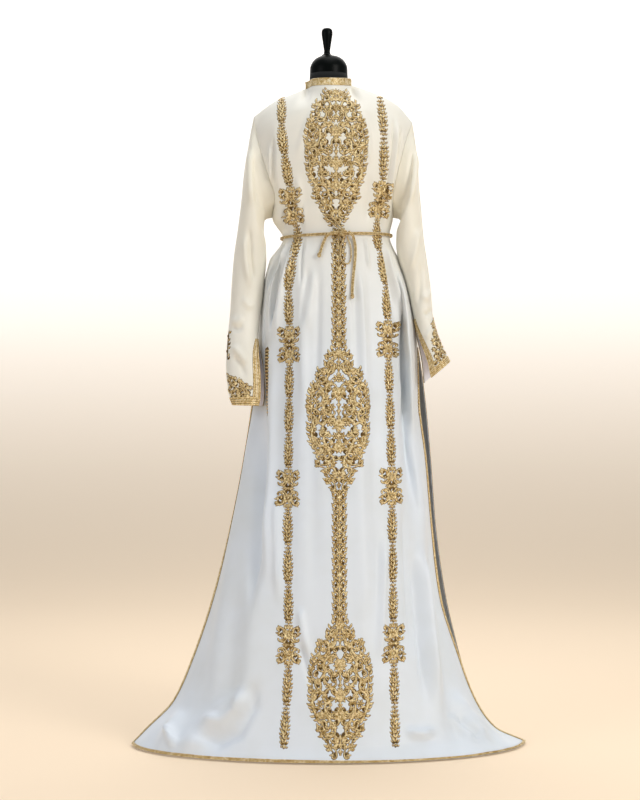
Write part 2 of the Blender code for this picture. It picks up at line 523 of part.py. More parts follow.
def front_grid(side):
    """One front panel's points, from the side to the middle opening on one side of the body."""
    downs, marks = panel_downs(True)
    keys = section_keys(True)
    waist_down = keys[UNDERARM_SECTION + 3]
    lower = np.clip((downs - waist_down) / (downs[-1] - waist_down), 0, 1)
    opening = SEAM / 2 + HEM_OPENING * lower ** 1.5
    half = smooth(keys, [TOP_HALF, TOP_HALF] + [(s[6] - s[3]) / 2 for s in FRONT_SECTIONS], downs)
    neck_point = RIGHT_NECK_POINT if side > 0 else -LEFT_NECK_POINT
    outside = np.linspace(1, neck_point, FRONT_SIDE_STRIPS)
    inside = np.linspace(neck_point, 0, FRONT_NECK_STRIPS + 1)
    places = np.empty((len(downs), len(outside) + len(inside)))
    places[:, 1:] = np.concatenate((outside, inside[1:]))
    places[:, 0] = 1
    places[:, 1] = 1 - TRIM_WIDTH / half / FRONT_SIDE_ARC
    places[:, -1] = opening / half / FRONT_MIDDLE_ARC
    places[:, -2] = (opening + TRIM_WIDTH) / half / FRONT_MIDDLE_ARC
    places = -places if side < 0 else places[:, ::-1]
    points = np.empty(places.shape + (3,))
    for index, down in enumerate(downs):
        rows, keys = section_rows(places[index], True)
        points[index] = smooth(keys, rows, down)
    push = fold_push(points, places, FRONT_SECTIONS, FRONT_FOLDS)
    points = points + grid_normals(points, True) * push[..., None]
    normals = grid_normals(points, True)
    inner = -1 if side < 0 else 0
    middle = [0.0, 0.0] + [(s[3] + s[6]) / 2 for s in FRONT_SECTIONS]
    points[:, inner, 0] = smooth(keys, middle, downs) + side * opening
    normals[:, inner, 0] = 0
    normals[:, inner] = unit(normals[:, inner])
    seam_normals(points, normals, marks, (0,) if side < 0 else (-1,), places[0])
    return points, normals, marks


def seam_normals(points, normals, marks, edges, top_places):
    """Give the shoulder and side seams the normals that both pieces share, so their walls meet mitred."""
    along = np.gradient(points[0], axis=0)
    up = unit(np.stack((-along[:, 2], np.zeros(len(along)), along[:, 0]), axis=-1))
    shoulder = ((top_places < LEFT_NECK_POINT + 0.01) | (top_places > RIGHT_NECK_POINT - 0.01))[:, None]
    normals[0] = np.where(shoulder, up, normals[0])
    first = marks[UNDERARM_SECTION]
    last = marks[SLIT_SECTION]
    for edge in edges:
        down = np.gradient(points[:, edge], axis=0)
        out = unit(np.stack((-down[:, 2], np.zeros(len(down)), down[:, 0]), axis=-1))
        if points[first, edge, 0] < 0:
            out = -out
        normals[first:last + 1, edge] = out[first:last + 1]
        normals[0, edge] = unit(up[edge] * 0.7 + np.array((math.copysign(0.7, points[0, edge, 0]), 0, 0)))


def apart(points, edges, first, last, amount):
    """Draw a panel back from its side seams and its shoulder seams by half a seam's space."""
    points[0, :, 1] += amount
    for edge in edges:
        points[first:last + 1, edge, 1] += amount
    return points


def build_panels(garment):
    """Back panel and two front panels, as walls with their inner skin one wall's thickness in."""
    points, normals, marks = back_grid()
    first, last = marks[UNDERARM_SECTION], marks[SLIT_SECTION]
    back = (apart(points, (0, -1), first, last, -SEAM / 2), normals, marks)
    rows, columns = points.shape[:2]
    thicken("back_panel", points.reshape(-1, 3), normals.reshape(-1, 3), grid_faces(rows, columns),
            -WALL, 0.0, SATIN, garment)
    fronts = {}
    for side, name in ((-1, "left"), (1, "right")):
        points, normals, marks = front_grid(side)
        first, last = marks[UNDERARM_SECTION], marks[SLIT_SECTION]
        edge = 0 if side < 0 else -1
        apart(points, (edge,), first, last, SEAM / 2)
        rows, columns = points.shape[:2]
        thicken("front_panel_" + name, points.reshape(-1, 3), normals.reshape(-1, 3),
                grid_faces(rows, columns, flip=True), -WALL, 0.0, SATIN, garment)
        fronts[side] = (points, normals, marks)
    return back, fronts


def armhole(side, back, front):
    """Points and normals round an armhole, from the underarm up the back and down the front."""
    edge = 0 if side < 0 else -1
    back_points, back_normals, marks = back
    front_points, front_normals, front_marks = front
    under = marks[UNDERARM_SECTION]
    front_under = front_marks[UNDERARM_SECTION]
    points = np.concatenate((back_points[under:0:-1, edge],
                             (back_points[:1, edge] + front_points[:1, edge]) / 2,
                             front_points[1:front_under + 1, edge]))
    normals = np.concatenate((back_normals[under:0:-1, edge], back_normals[:1, edge],
                              front_normals[1:front_under + 1, edge]))
    points[0] = points[-1] = (points[0] + points[-1]) / 2
    normals[0] = normals[-1] = unit(normals[0] + normals[-1])
    return points, normals


def sleeve_grid(side, back, front):
    """Rings of a sleeve: the armhole, then tilted ellipses that open at the slit of the cuff."""
    hole, hole_normals = armhole(side, back, front)
    count = len(hole)
    along = np.gradient(hole, axis=0)
    along[0] = along[-1] = hole[1] - hole[-2]
    rings = [hole + side * ARMHOLE_GAP * unit(np.cross(along, hole_normals))]
    tip = count // 2
    steps = np.concatenate(((0.0,), np.cumsum(np.linalg.norm(np.diff(hole, axis=0), axis=1))))
    by_length = (steps - steps[tip]) / np.where(steps < steps[tip], steps[tip], steps[-1] - steps[tip])
    evenly = np.linspace(-1, 1, count)
    for number, ring in enumerate(LEFT_RINGS if side < 0 else RIGHT_RINGS):
        row = dict(zip(RING_COLUMNS, ring))
        even = min(1.0, number / EVEN_RING)
        share = by_length * (1 - even) + evenly * even
        turn = np.radians(np.where(share < 0, share * (180 - row["slit"]), share * 180))
        outer = np.array((row["outer_x"], row["y"], row["outer_z"]))
        inner = np.array((row["inner_x"], row["y"], row["inner_z"]))
        across = (outer - inner) / 2
        rings.append((outer + inner) / 2 + np.cos(turn)[:, None] * across
                     + np.sin(turn)[:, None] * np.array((0.0, row["half_y"], 0.0)))
    points = np.array(rings)
    closed = np.array([0] + [ring[-1] for ring in (LEFT_RINGS if side < 0 else RIGHT_RINGS)]) == 0
    normals = grid_normals(points, side < 0)
    wrapped = np.concatenate((points[:, -2:-1], points, points[:, 1:2]), axis=1)
    wrapped_normals = grid_normals(wrapped, side < 0)[:, 1:-1]
    normals[closed] = wrapped_normals[closed]
    normals[closed, 0] = unit(normals[closed, 0] + normals[closed, -1])
    normals[closed, -1] = normals[closed, 0]
    normals[0] = hole_normals
    return points, normals, closed


def build_sleeve(side, name, back, front, garment, cutters):
    """A sleeve as a tube of cloth, open at the armhole and the cuff and slit at the cuff."""
    points, normals, closed = sleeve_grid(side, back, front)
    rows, columns = points.shape[:2]
    ids = np.arange(rows * columns).reshape(rows, columns)
    ids[closed, -1] = ids[closed, 0]
    faces = grid_faces(rows, columns, flip=side < 0, ids=ids)
    thicken("sleeve_" + name, points.reshape(-1, 3), normals.reshape(-1, 3), faces, -WALL, 0.0,
            SLEEVE_SATIN, garment)
    slit_row = int(np.argmin(closed)) - 2

    def band(row, column):
        beside_slit = column in (0, columns - 2) and row >= slit_row
        return beside_slit or row >= rows - 1 - CUFF_BAND_RINGS

    outline = LEFT_CUFF_MOTIF if side < 0 else RIGHT_CUFF_MOTIF
    middle_y = (LEFT_RINGS if side < 0 else RIGHT_RINGS)[-1][4]
    motif("cuff_embroidery_" + name, outline, (points, normals), garment, cutters,
          flip=side < 0, far_y=middle_y)
    thicken("cuff_braid_" + name, points.reshape(-1, 3), normals.reshape(-1, 3),
            grid_faces(rows, columns, keep=band, flip=side < 0, ids=ids),
            SEAM, SEAM + TRIM_THICK, BRAID, garment)


def build_trims(back, fronts, garment):
    """Gold braid along the slits and the hem, on the outermost strips of each panel."""
    points, normals, marks = back
    rows, columns = points.shape[:2]
    slit = marks[SLIT_SECTION]

    def back_edge(row, column):
        return (column in (0, columns - 2) and row >= slit) or row == rows - 2

    thicken("back_edge_braid", points.reshape(-1, 3), normals.reshape(-1, 3),
            grid_faces(rows, columns, keep=back_edge), SEAM, SEAM + TRIM_THICK, BRAID, garment)
    for side, name in ((-1, "left"), (1, "right")):
        points, normals, marks = fronts[side]
        rows, columns = points.shape[:2]
        slit = marks[SLIT_SECTION]
        slit_column = 0 if side < 0 else columns - 2
        middle_column = columns - 2 - slit_column

        def front_edge(row, column):
            at_slit = column == slit_column and row >= slit
            return at_slit or column == middle_column or row == rows - 2

        thicken("front_edge_braid_" + name, points.reshape(-1, 3), normals.reshape(-1, 3),
                grid_faces(rows, columns, keep=front_edge, flip=True),
                SEAM, SEAM + TRIM_THICK, BRAID, garment)


def prism(name, outline, near_y, far_y, cutters):
    """A cutter: an outline in the plane of X and Z, drawn out along Y."""
    work = bmesh.new()
    verts = [work.verts.new((x, near_y, z)) for x, z in outline]
    face = work.faces.new(verts)
    pushed = bmesh.ops.extrude_face_region(work, geom=[face])
    moved = [item for item in pushed["geom"] if isinstance(item, bmesh.types.BMVert)]
    bmesh.ops.translate(work, verts=moved, vec=(0, far_y - near_y, 0))
    bmesh.ops.recalc_face_normals(work, faces=work.faces)
    mesh = bpy.data.meshes.new(name)
    work.to_mesh(mesh)
    work.free()
    cutter = bpy.data.objects.new(name, mesh)
    cutter.hide_render = True
    cutter.display_type = "WIRE"
    cutters.objects.link(cutter)
    return cutter


def motif(name, outline, grid, garment, cutters, flip=False, far_y=0.02, material=None):
    """A flat piece of embroidery: the cloth's own points moved out, cut to an outline."""
    points, normals = grid
    xs = [x for x, z in outline]
    zs = [z for x, z in outline]
    rows, columns = points.shape[:2]

    def near(row, column):
        cell = points[row:row + 2, column:column + 2].reshape(-1, 3)
        return (cell[:, 0].max() > min(xs) and cell[:, 0].min() < max(xs)
                and cell[:, 2].max() > min(zs) and cell[:, 2].min() < max(zs))

    skin = thicken(name, points.reshape(-1, 3), normals.reshape(-1, 3),
                   grid_faces(rows, columns, keep=near, flip=flip), SEAM, SEAM + MOTIF_THICK,
                   material or EMBROIDERY, garment)
    cut = skin.modifiers.new("outline", "BOOLEAN")
    cut.operation = "INTERSECT"
    cut.object = prism(name + "_outline", outline, -0.5, far_y, cutters)
    return skin


def mirrored_outline(middle_x, low_z, high_z, shares, half_widths):
    """An outline that is the same on both sides of a middle line."""
    zs = [low_z + (high_z - low_z) * share for share in shares]
    right = [(middle_x + half, z) for half, z in zip(half_widths, zs)]
    left = [(middle_x - half, z) for half, z in zip(half_widths, zs)]
    return right + left[::-1]


def side_outline(path, cartouches):
    """Outline of a side column: leaf-shaped links end to end, with a two-lobed cartouche at places."""
    top_z = path["z"][0]
    stops = dict(cartouches)
    stations = []

    def add(z, half):
        stations.append((z, half))

    upper = top_z
    for stop in list(stops) + [None]:
        lower = SIDE_LOW_Z if stop is None else stop + CARTOUCHE_LENGTH / 2
        links = max(1, round((upper - lower) / LINK_LENGTH))
        length = (upper - lower) / links
        for link in range(links):
            for share, half in ((0.0, NECK_HALF_WIDTH), (0.30, 0.95 * LINK_HALF_WIDTH),
                                (0.72, LINK_HALF_WIDTH)):
                add(upper - length * (link + share), half)
        if stop is not None:
            for share, half in ((0.04, 0.60), (0.24, 1.0), (0.50, 0.62), (0.76, 1.0), (0.96, 0.60)):
                add(lower - CARTOUCHE_LENGTH * share, half * stops[stop])
            upper = stop - CARTOUCHE_LENGTH / 2
    add(SIDE_LOW_Z, NECK_HALF_WIDTH)
    keys = [-z for z in path["z"]]
    middles = smooth(keys, path["x"], [-z for z, half in stations])
    right = [(float(x) + half, z) for x, (z, half) in zip(middles, stations)]
    left = [(float(x) - half, z) for x, (z, half) in zip(middles, stations)]
    return left + right[::-1]


def build_embroidery(back, garment, cutters):
    """Three medallions and two columns down the middle, a column at each side, and slit ladders."""
    grid = back[:2]
    for name, middle_x, low_z, high_z, half_widths in MEDALLIONS:
        motif(name, mirrored_outline(middle_x, low_z, high_z, MEDALLION_HEIGHTS, half_widths), grid,
              garment, cutters)
    for name, middle_x, low_z, high_z in COLUMNS:
        shares = np.linspace(0, 1, 13)
        widths = [COLUMN_HALF_WIDTH * (1 if step % 2 else 0.78) for step in range(13)]
        motif(name, mirrored_outline(middle_x, low_z, high_z, shares, widths), grid, garment, cutters)
    motif("side_column_left", side_outline(LEFT_PATH, LEFT_CARTOUCHES), grid, garment, cutters)
    motif("side_column_right", side_outline(RIGHT_PATH, RIGHT_CARTOUCHES), grid, garment, cutters)
    for name, x in (("slit_ladder_left", LADDER_LEFT_X), ("slit_ladder_right", LADDER_RIGHT_X)):
        outline = [(x - LADDER_WIDTH / 2, LADDER_LOW_Z), (x + LADDER_WIDTH / 2, LADDER_LOW_Z),
                   (x + LADDER_WIDTH / 2, LADDER_HIGH_Z), (x - LADDER_WIDTH / 2, LADDER_HIGH_Z)]
        motif(name, outline, grid, garment, cutters, material=BRAID)


def on_back(x, z, out):
    """The point of the back panel at a place across and up, moved out by a distance."""
    keys = section_keys(False)
    across, down = 0.0, 0.4
    for _ in range(20):
        point = panel(np.array((across - 0.01, across, across + 0.01)), False,
                      np.array((down - 0.01, down, down + 0.01)))
        here = point[1, 1]
        slope_x = (point[1, 2, 0] - point[1, 0, 0]) / 0.02
        slope_z = (point[2, 1, 2] - point[0, 1, 2]) / 0.02
        across = float(np.clip(across + 0.8 * (x - here[0]) / slope_x, -0.95, 0.95))
        down = float(np.clip(down + 0.8 * (z - here[2]) / slope_z, 0.02, keys[-1] - 0.02))
    normal = grid_normals(point, False)[1, 1]
    return here + normal * out


def tube(name, points, radius, material, collection, closed=False, resolution=2):
    """A cord or rod: a curve through points with a round bevel and filled caps."""
    curve = bpy.data.curves.new(name, "CURVE")
    curve.dimensions = "3D"
    spline = curve.splines.new("POLY")
    spline.points.add(len(points) - 1)
    for target, point in zip(spline.points, points):
        target.co = (*[float(value) for value in point], 1.0)
    spline.use_cyclic_u = closed
    curve.bevel_depth = radius
    curve.bevel_resolution = resolution
    curve.use_fill_caps = not closed
    return finish(bpy.data.objects.new(name, curve), material, collection, 40)


def belt_route(count):
    """The belt round the waist: the waist's own arcs, moved out past the embroidery."""
    out = SEAM + MOTIF_THICK + SEAM + BELT_CORD / 2 + BELT_SEAT
    back = dict(zip(SECTION_COLUMNS, BACK_SECTIONS[UNDERARM_SECTION + 1]))
    front = dict(zip(SECTION_COLUMNS, FRONT_SECTIONS[UNDERARM_SECTION + 1]))
    middle = (back["left_x"] + back["right_x"]) / 2
    half = (back["right_x"] - back["left_x"]) / 2 + out
    route = []
    for step in range(count):
        turn = 2 * math.pi * step / count
        depth = (-back["y"] if math.sin(turn) < 0 else front["y"]) + out
        x = middle + half * math.cos(turn)
        route.append((x, depth * math.sin(turn), WAIST_Z + BELT_TILT * (x - middle)))
    return route


def smooth_route(points, spacing):
    """Points at even spacing on a smooth curve through a route's own points."""
    points = np.asarray(points, float)
    keys = np.concatenate(((0.0,), np.cumsum(np.linalg.norm(np.diff(points, axis=0), axis=1))))
    count = max(6, int(keys[-1] / spacing) + 1)
    return smooth(keys, points, np.linspace(0, keys[-1], count))


def build_knots(garment):
    """The column of knots over the front opening: one cord that swells at each knot."""
    keys = [-section[2] for section in FRONT_SECTIONS]
    heights = np.linspace(KNOT_HIGH_Z, KNOT_LOW_Z, 2 * KNOTS)
    middle_x = smooth(keys, [(s[3] + s[6]) / 2 for s in FRONT_SECTIONS], -heights)
    depth = smooth([-FRONT_NECK["z"][2]] + keys, [FRONT_NECK["y"][2]] + [s[1] for s in FRONT_SECTIONS],
                   -heights)
    over = 2 * SEAM + TRIM_THICK + KNOT_RADIUS + 0.0004
    points = np.stack((middle_x, depth + over, heights), axis=-1)
    item = tube("front_knots", points, KNOT_RADIUS, BRAID, garment, resolution=1)
    for index, point in enumerate(item.data.splines[0].points):
        point.radius = 1.0 if index % 2 else 0.55


def build_belt(garment):
    """Belt ring, knot, two loops and two free ends, each end with its own small knot."""
    tube("belt_ring", belt_route(34), BELT_CORD / 2, CORD, garment, closed=True)
    over = SEAM + MOTIF_THICK + CORD_SEAT
    knot = on_back(*KNOT_CENTRE, over + BELT_CORD + KNOT_RISE)
    ellipsoid("belt_knot", knot, BOW_KNOT, CORD, garment)
    for name, route, radius in (("tail_left", TAIL_LEFT, BELT_CORD / 2),
                                ("tail_right", TAIL_RIGHT, BELT_CORD / 2),
                                ("loop_lower", LOOP_LOWER, STRAND / 2),
                                ("loop_upper", LOOP_UPPER, STRAND / 2)):
        points = [on_back(x, z, over + radius + cord_lift(x, z)) for x, z in smooth_route(route, radius * 5)]
        tube(name, points, radius, CORD, garment)
    for name, x, z in END_KNOTS:
        ellipsoid(name, on_back(x, z, over + END_KNOT[0]), END_KNOT, CORD, garment)


def cord_lift(x, z):
    """How far the bow's cords stand off the cloth: they pass over the belt and sink to the cloth."""
    belt_z = WAIST_Z + BELT_TILT * x
    return (BELT_CORD + BELT_CLEAR) * math.exp(-((z - belt_z) / BELT_REACH) ** 4)


def ellipsoid(name, centre, radii, material, collection):
    """A rounded knot."""
    work = bmesh.new()
    bmesh.ops.create_uvsphere(work, u_segments=10, v_segments=6, radius=1.0)
    bmesh.ops.scale(work, verts=work.verts, vec=radii)
    mesh = bpy.data.meshes.new(name)
    work.to_mesh(mesh)
    work.free()
    item = finish(bpy.data.objects.new(name, mesh), material, collection, 60)
    item.location = [float(value) for value in centre]
    return item


def neck_loop(back, fronts):
    """Points of the neck edge, from one front opening round behind the neck to the other."""
    pieces = []
    for points, _, _ in (fronts[-1], back, fronts[1]):
        row = points[0]
        inside = (row[:, 0] > TOP_EDGE["x"][4] - 0.0005) & (row[:, 0] < TOP_EDGE["x"][8] + 0.0005)
        pieces.append(row[inside])
    left, behind, right = pieces
    return np.concatenate((left[:0:-1], behind, right[-2::-1]))


def build_neck(back, fronts, garment):
    """Neck band standing on the neck edge, and the fine braid along its top."""
    edge = neck_loop(back, fronts)
    along = unit(np.gradient(edge, axis=0))
    inward = unit((np.array((FORM_X, 0.0, 0.0)) - edge) * np.array((1, 1, 0)))
    lean = inward * NECK_LEAN + np.array((0, 0, 1.0))
    lean = unit(lean - np.sum(lean * along, axis=-1, keepdims=True) * along)
    outward = unit(np.cross(lean, along))
    foot = edge + (inward + lean) * NECK_GAP
    rows = np.array([foot + lean * NECK_BAND * share for share in (0.0, 0.5, 1.0)])
    normals = np.array([outward, outward, outward])
    thicken("neck_band", rows.reshape(-1, 3), normals.reshape(-1, 3), grid_faces(3, len(edge)),
            -WALL, 0.0, BRAID, garment)
    top = foot + lean * (NECK_BAND + 2 * SEAM + EDGE_CORD / 2) - outward * WALL / 2
    tube("neck_edge_braid", top[1:-1], EDGE_CORD / 2, BRAID, garment, resolution=1)


def turned(name, profile, axis_x, material, garment, steps=24):
    """A turned solid: a profile of radius and height, from top to bottom, spun about an upright axis."""
    mesh = bpy.data.meshes.new(name)
    verts = [(radius, 0.0, height) for radius, height in profile]
    mesh.from_pydata(verts, [(i, i + 1) for i in range(len(verts) - 1)], [])
    item = bpy.data.objects.new(name, mesh)
    item.location = (axis_x, 0.0, 0.0)
    spin = item.modifiers.new("spin", "SCREW")
    spin.steps = steps
    spin.render_steps = steps
    spin.use_merge_vertices = True
    spin.merge_threshold = 0.00005
    item.data.materials.append(make_material(*material))
    garment.objects.link(item)
    return item


def build_form(garment):
    """Torso with its neck, neck cap, finial, pole and base."""
    turns = np.linspace(0, 2 * np.pi, 24, endpoint=False)
    verts = []
    for z, half_x, back_y, front_y in zip(*FORM_SECTIONS.values()):
        depth = np.where(np.sin(turns) < 0, back_y, front_y)
        verts.append(np.stack((FORM_X + half_x * np.cos(turns), depth * np.sin(turns),
                               np.full(len(turns), z)), axis=-1))
    rings = len(verts)
    count = len(turns)
    ids = np.arange(rings * count).reshape(rings, count)
    ids = np.concatenate((ids, ids[:, :1]), axis=1)
    faces = [list(face) for face in grid_faces(rings, count + 1, ids=ids, flip=True)]
    faces.append(ids[0, :count][::-1].tolist())
    faces.append(ids[-1, :count].tolist())
    mesh = bpy.data.meshes.new("form_torso")
    mesh.from_pydata(np.concatenate(verts).tolist(), [], faces)
    finish(bpy.data.objects.new("form_torso", mesh), JERSEY, garment, 50)
    turned("neck_cap", ((0.0, 1.620), (0.018, 1.6185), (0.032, 1.612), (0.0405, 1.602), (0.0445, 1.590),
                        (0.0450, NECK_TOP_Z + SEAM), (0.0, NECK_TOP_Z + SEAM)), FORM_X, LACQUER, garment)
    turned("finial", ((0.0, 1.686), (0.008, 1.685), (0.0125, 1.680), (0.0132, 1.673), (0.0115, 1.660),
                      (0.0085, 1.640), (0.0072, 1.630), (0.0085, 1.6240), (0.0125, 1.6208),
                      (0.0, 1.6206)), FINIAL_X, LACQUER, garment, steps=14)
    turned("stand_pole", ((0.0, FORM_BOTTOM_Z - SEAM), (POLE_RADIUS, FORM_BOTTOM_Z - SEAM),
                          (POLE_RADIUS, BASE_HEIGHT + SEAM), (0.0, BASE_HEIGHT + SEAM)),
           FORM_X, LACQUER, garment, steps=16)
    turned("stand_base", ((0.0, BASE_HEIGHT), (0.10, BASE_HEIGHT), (BASE_RADIUS - 0.006, 0.010),
                          (BASE_RADIUS, 0.006), (BASE_RADIUS, 0.0), (0.0, 0.0)),
           0.0, LACQUER, garment, steps=32)


def main():
    for item in list(bpy.data.objects):
        bpy.data.objects.remove(item)
    garment = bpy.data.collections.new("moroccan_kaftan")
    cutters = bpy.data.collections.new("cutters")
    bpy.context.scene.collection.children.link(garment)
    bpy.context.scene.collection.children.link(cutters)
    back, fronts = build_panels(garment)
    for side, name in ((-1, "left"), (1, "right")):
        build_sleeve(side, name, back, fronts[side], garment, cutters)
    build_trims(back, fronts, garment)
    build_embroidery(back, garment, cutters)
    build_neck(back, fronts, garment)
    build_knots(garment)
    build_belt(garment)
    build_form(garment)


main()
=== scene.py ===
"""Ivory satin Moroccan kaftan with gold scroll embroidery, on a black limbless dress form.

Metres, +Z up; the wearer's back faces -Y, so the wearer's left is -X. The cloth is made of the same
sections as the solids: each section is an arc, and folds push it in and out. Whatever is sewn on
lies on points of those surfaces, moved out.
"""
import math

import bpy
import numpy as np
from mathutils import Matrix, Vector


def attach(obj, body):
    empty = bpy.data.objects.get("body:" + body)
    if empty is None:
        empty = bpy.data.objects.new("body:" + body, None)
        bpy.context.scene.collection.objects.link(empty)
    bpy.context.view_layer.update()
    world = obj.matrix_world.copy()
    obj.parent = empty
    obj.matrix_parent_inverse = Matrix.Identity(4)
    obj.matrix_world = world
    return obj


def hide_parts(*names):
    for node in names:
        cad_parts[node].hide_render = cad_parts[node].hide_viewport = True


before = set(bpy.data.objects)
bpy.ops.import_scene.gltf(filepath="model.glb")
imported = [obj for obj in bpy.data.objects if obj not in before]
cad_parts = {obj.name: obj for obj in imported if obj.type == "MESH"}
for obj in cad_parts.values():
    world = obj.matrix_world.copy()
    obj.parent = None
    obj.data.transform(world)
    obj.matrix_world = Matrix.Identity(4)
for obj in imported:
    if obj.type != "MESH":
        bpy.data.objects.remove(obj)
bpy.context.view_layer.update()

WAIST_Z = 1.1875         # height of the belt
BELT_TILT = 0.026        # rise of the belt for each metre to the wearer's right
BELT_CORD = 0.0067       # width of the belt, two strands side by side
STRAND = 0.0034          # one strand
CORD_SEAT = 0.0025       # height of the solids' embroidery under the cords
HEM_OPENING = 0.030      # how far each front stands from the middle at the hem
TRIM_WIDTH = 0.012       # braid on the slits and the hem
NECK_BAND = 0.0135       # height of the braid round the neck
CLOTH = 0.0009           # thickness of the satin
SEWN_LIFT = 0.0003       # underside of the braid above the panels
CUFF_LIFT = 0.0004       # underside of the braid above the sleeves
BELT_LIFT = 0.0024       # underside of the belt above the arcs of the waist
BRAID_THICK = 0.0016     # braid on the panels
CUFF_THICK = 0.0017      # braid on the slits of the cuffs
MOUTH_THICK = 0.0018     # braid round the mouths of the cuffs
HEM_WIDTH = 0.008        # braid along the hems
FORM_X = -0.003          # middle of the dress form
FINIAL_X = -0.007        # middle of the finial, which leans a little
CAMERA_PLACE = (-0.0238, -4.5, 0.80)     # behind the wearer, at the height of the hips
CAMERA_LENS = 85.0       # focal length in mm
CAMERA_FRAME = 36.0      # width of the camera's frame in mm
FLOOR_END = 2.6          # where the floor begins to curve up into the backdrop
WALL_PLACE = 9.0         # where the backdrop stands upright
BEND_RISE = 3.2          # height at which it does
FRINGE = 0.0040          # how far the leaves round an outline stand out from it
CARTOUCHE_LENGTH = 0.088
CARTOUCHE_WIDTH = 0.031
LOBE_RISE = 0.0215       # middle of a cartouche's lobe above or below its waist
LINK_LENGTH = 0.083      # length of a link of a side column, at most
FIELD_ROW = 0.0130       # rows of small motifs in a medallion
FIELD_STEP = 0.0150      # motifs along a row
OUTLINE = 0.00105        # how far the darker gilt, painted shade, shows beside each bright stroke

# Shoulder edge of a panel: places across it, from the left armhole to the right, and where they are
TOP_EDGE = {
    "across": (-1.00, -0.84, -0.66, -0.48, -0.33, -0.20, 0.00, 0.20, 0.31, 0.47, 0.64, 0.82, 1.00),
    "x": (-0.181, -0.154, -0.124, -0.088, -0.058, -0.040, 0.000, 0.034, 0.051, 0.086, 0.122, 0.160, 0.195),
    "y": (0.000, 0.000, 0.000, 0.000, 0.000, -0.042, -0.062, -0.042, 0.000, 0.000, 0.000, 0.000, 0.000),
    "z": (1.474, 1.496, 1.515, 1.529, 1.541, 1.542, 1.5405, 1.543, 1.549, 1.538, 1.524, 1.502, 1.462),
}
# Front neckline, which takes the shoulder edge's place between the ends of the shoulders
FRONT_NECK = {
    "across": (-0.33, -0.20, 0.00, 0.20, 0.31),
    "x": (-0.058, -0.050, 0.000, 0.044, 0.051),
    "y": (0.000, 0.054, 0.088, 0.054, 0.000),
    "z": (1.541, 1.500, 1.455, 1.502, 1.549),
}
# Sections of the panels from the chest to the hem: the middle, the two edges, and the arc's half angle
SECTION_COLUMNS = ("y", "z", "left_x", "left_y", "left_z", "right_x", "right_y", "right_z", "angle")
BACK_SECTIONS = (
    (-0.084, 1.485, -0.1745, -0.030, 1.432, 0.1830, -0.030, 1.425, 74),
    (-0.097, 1.440, -0.1650, -0.044, 1.392, 0.1730, -0.044, 1.390, 74),
    (-0.104, 1.370, -0.1455, -0.052, 1.328, 0.1570, -0.052, 1.328, 74),
    (-0.104, 1.300, -0.1300, -0.042, 1.277, 0.1475, -0.042, 1.277, 78),
    (-0.101, 1.245, -0.1375, 0.000, 1.2335, 0.1500, 0.000, 1.2335, 88),
    (-0.0975, 1.1875, -0.1116, 0.000, 1.1850, 0.1420, 0.000, 1.1910, 88),
    (-0.113, 1.130, -0.1440, 0.000, 1.130, 0.1660, 0.000, 1.130, 88),
    (-0.132, 1.060, -0.1600, 0.000, 1.060, 0.1880, 0.000, 1.060, 88),
    (-0.158, 0.925, -0.1730, 0.000, 0.925, 0.2090, 0.000, 0.925, 86),
    (-0.182, 0.800, -0.1840, -0.012, 0.800, 0.2120, -0.010, 0.800, 72),
    (-0.208, 0.660, -0.2040, -0.030, 0.660, 0.2280, -0.024, 0.660, 68),
    (-0.238, 0.500, -0.2350, -0.050, 0.500, 0.2410, -0.042, 0.500, 68),
    (-0.268, 0.340, -0.2745, -0.072, 0.340, 0.2600, -0.060, 0.340, 72),
    (-0.298, 0.200, -0.3210, -0.090, 0.200, 0.3020, -0.074, 0.200, 76),
    (-0.322, 0.100, -0.3660, -0.104, 0.100, 0.3400, -0.080, 0.100, 80),
    (-0.342, 0.038, -0.4250, -0.115, 0.040, 0.3860, -0.084, 0.036, 84),
    (-0.362, 0.0038, -0.4600, -0.120, 0.0038, 0.4560, -0.086, 0.0038, 88),
)
FRONT_SECTIONS = (
    (0.096, 1.420, -0.1745, 0.030, 1.432, 0.1830, 0.030, 1.425, 74),
    (0.103, 1.380, -0.1650, 0.044, 1.392, 0.1730, 0.044, 1.390, 74),
    (0.108, 1.330, -0.1455, 0.052, 1.328, 0.1570, 0.052, 1.328, 74),
    (0.106, 1.275, -0.1300, 0.042, 1.277, 0.1475, 0.042, 1.277, 78),
    (0.101, 1.235, -0.1375, 0.000, 1.2335, 0.1500, 0.000, 1.2335, 88),
    (0.0955, 1.1875, -0.1116, 0.000, 1.1850, 0.1420, 0.000, 1.1910, 88),
    (0.108, 1.130, -0.1440, 0.000, 1.130, 0.1660, 0.000, 1.130, 88),
    (0.122, 1.060, -0.1600, 0.000, 1.060, 0.1880, 0.000, 1.060, 88),
    (0.138, 0.925, -0.1730, 0.000, 0.925, 0.2090, 0.000, 0.925, 86),
    (0.150, 0.800, -0.1760, 0.010, 0.800, 0.2270, 0.012, 0.800, 80),
    (0.160, 0.660, -0.1900, 0.018, 0.660, 0.2400, 0.014, 0.660, 80),
    (0.168, 0.500, -0.2050, 0.024, 0.500, 0.2520, 0.012, 0.500, 80),
    (0.176, 0.340, -0.2220, 0.030, 0.340, 0.2740, 0.006, 0.340, 80),
    (0.184, 0.200, -0.2400, 0.034, 0.200, 0.3060, 0.000, 0.200, 82),
    (0.194, 0.060, -0.2580, 0.037, 0.060, 0.3450, -0.006, 0.060, 84),
    (0.198, 0.012, -0.2640, 0.038, 0.012, 0.3560, -0.008, 0.012, 84),
)
UNDERARM_SECTION = 4
SLIT_SECTION = 8

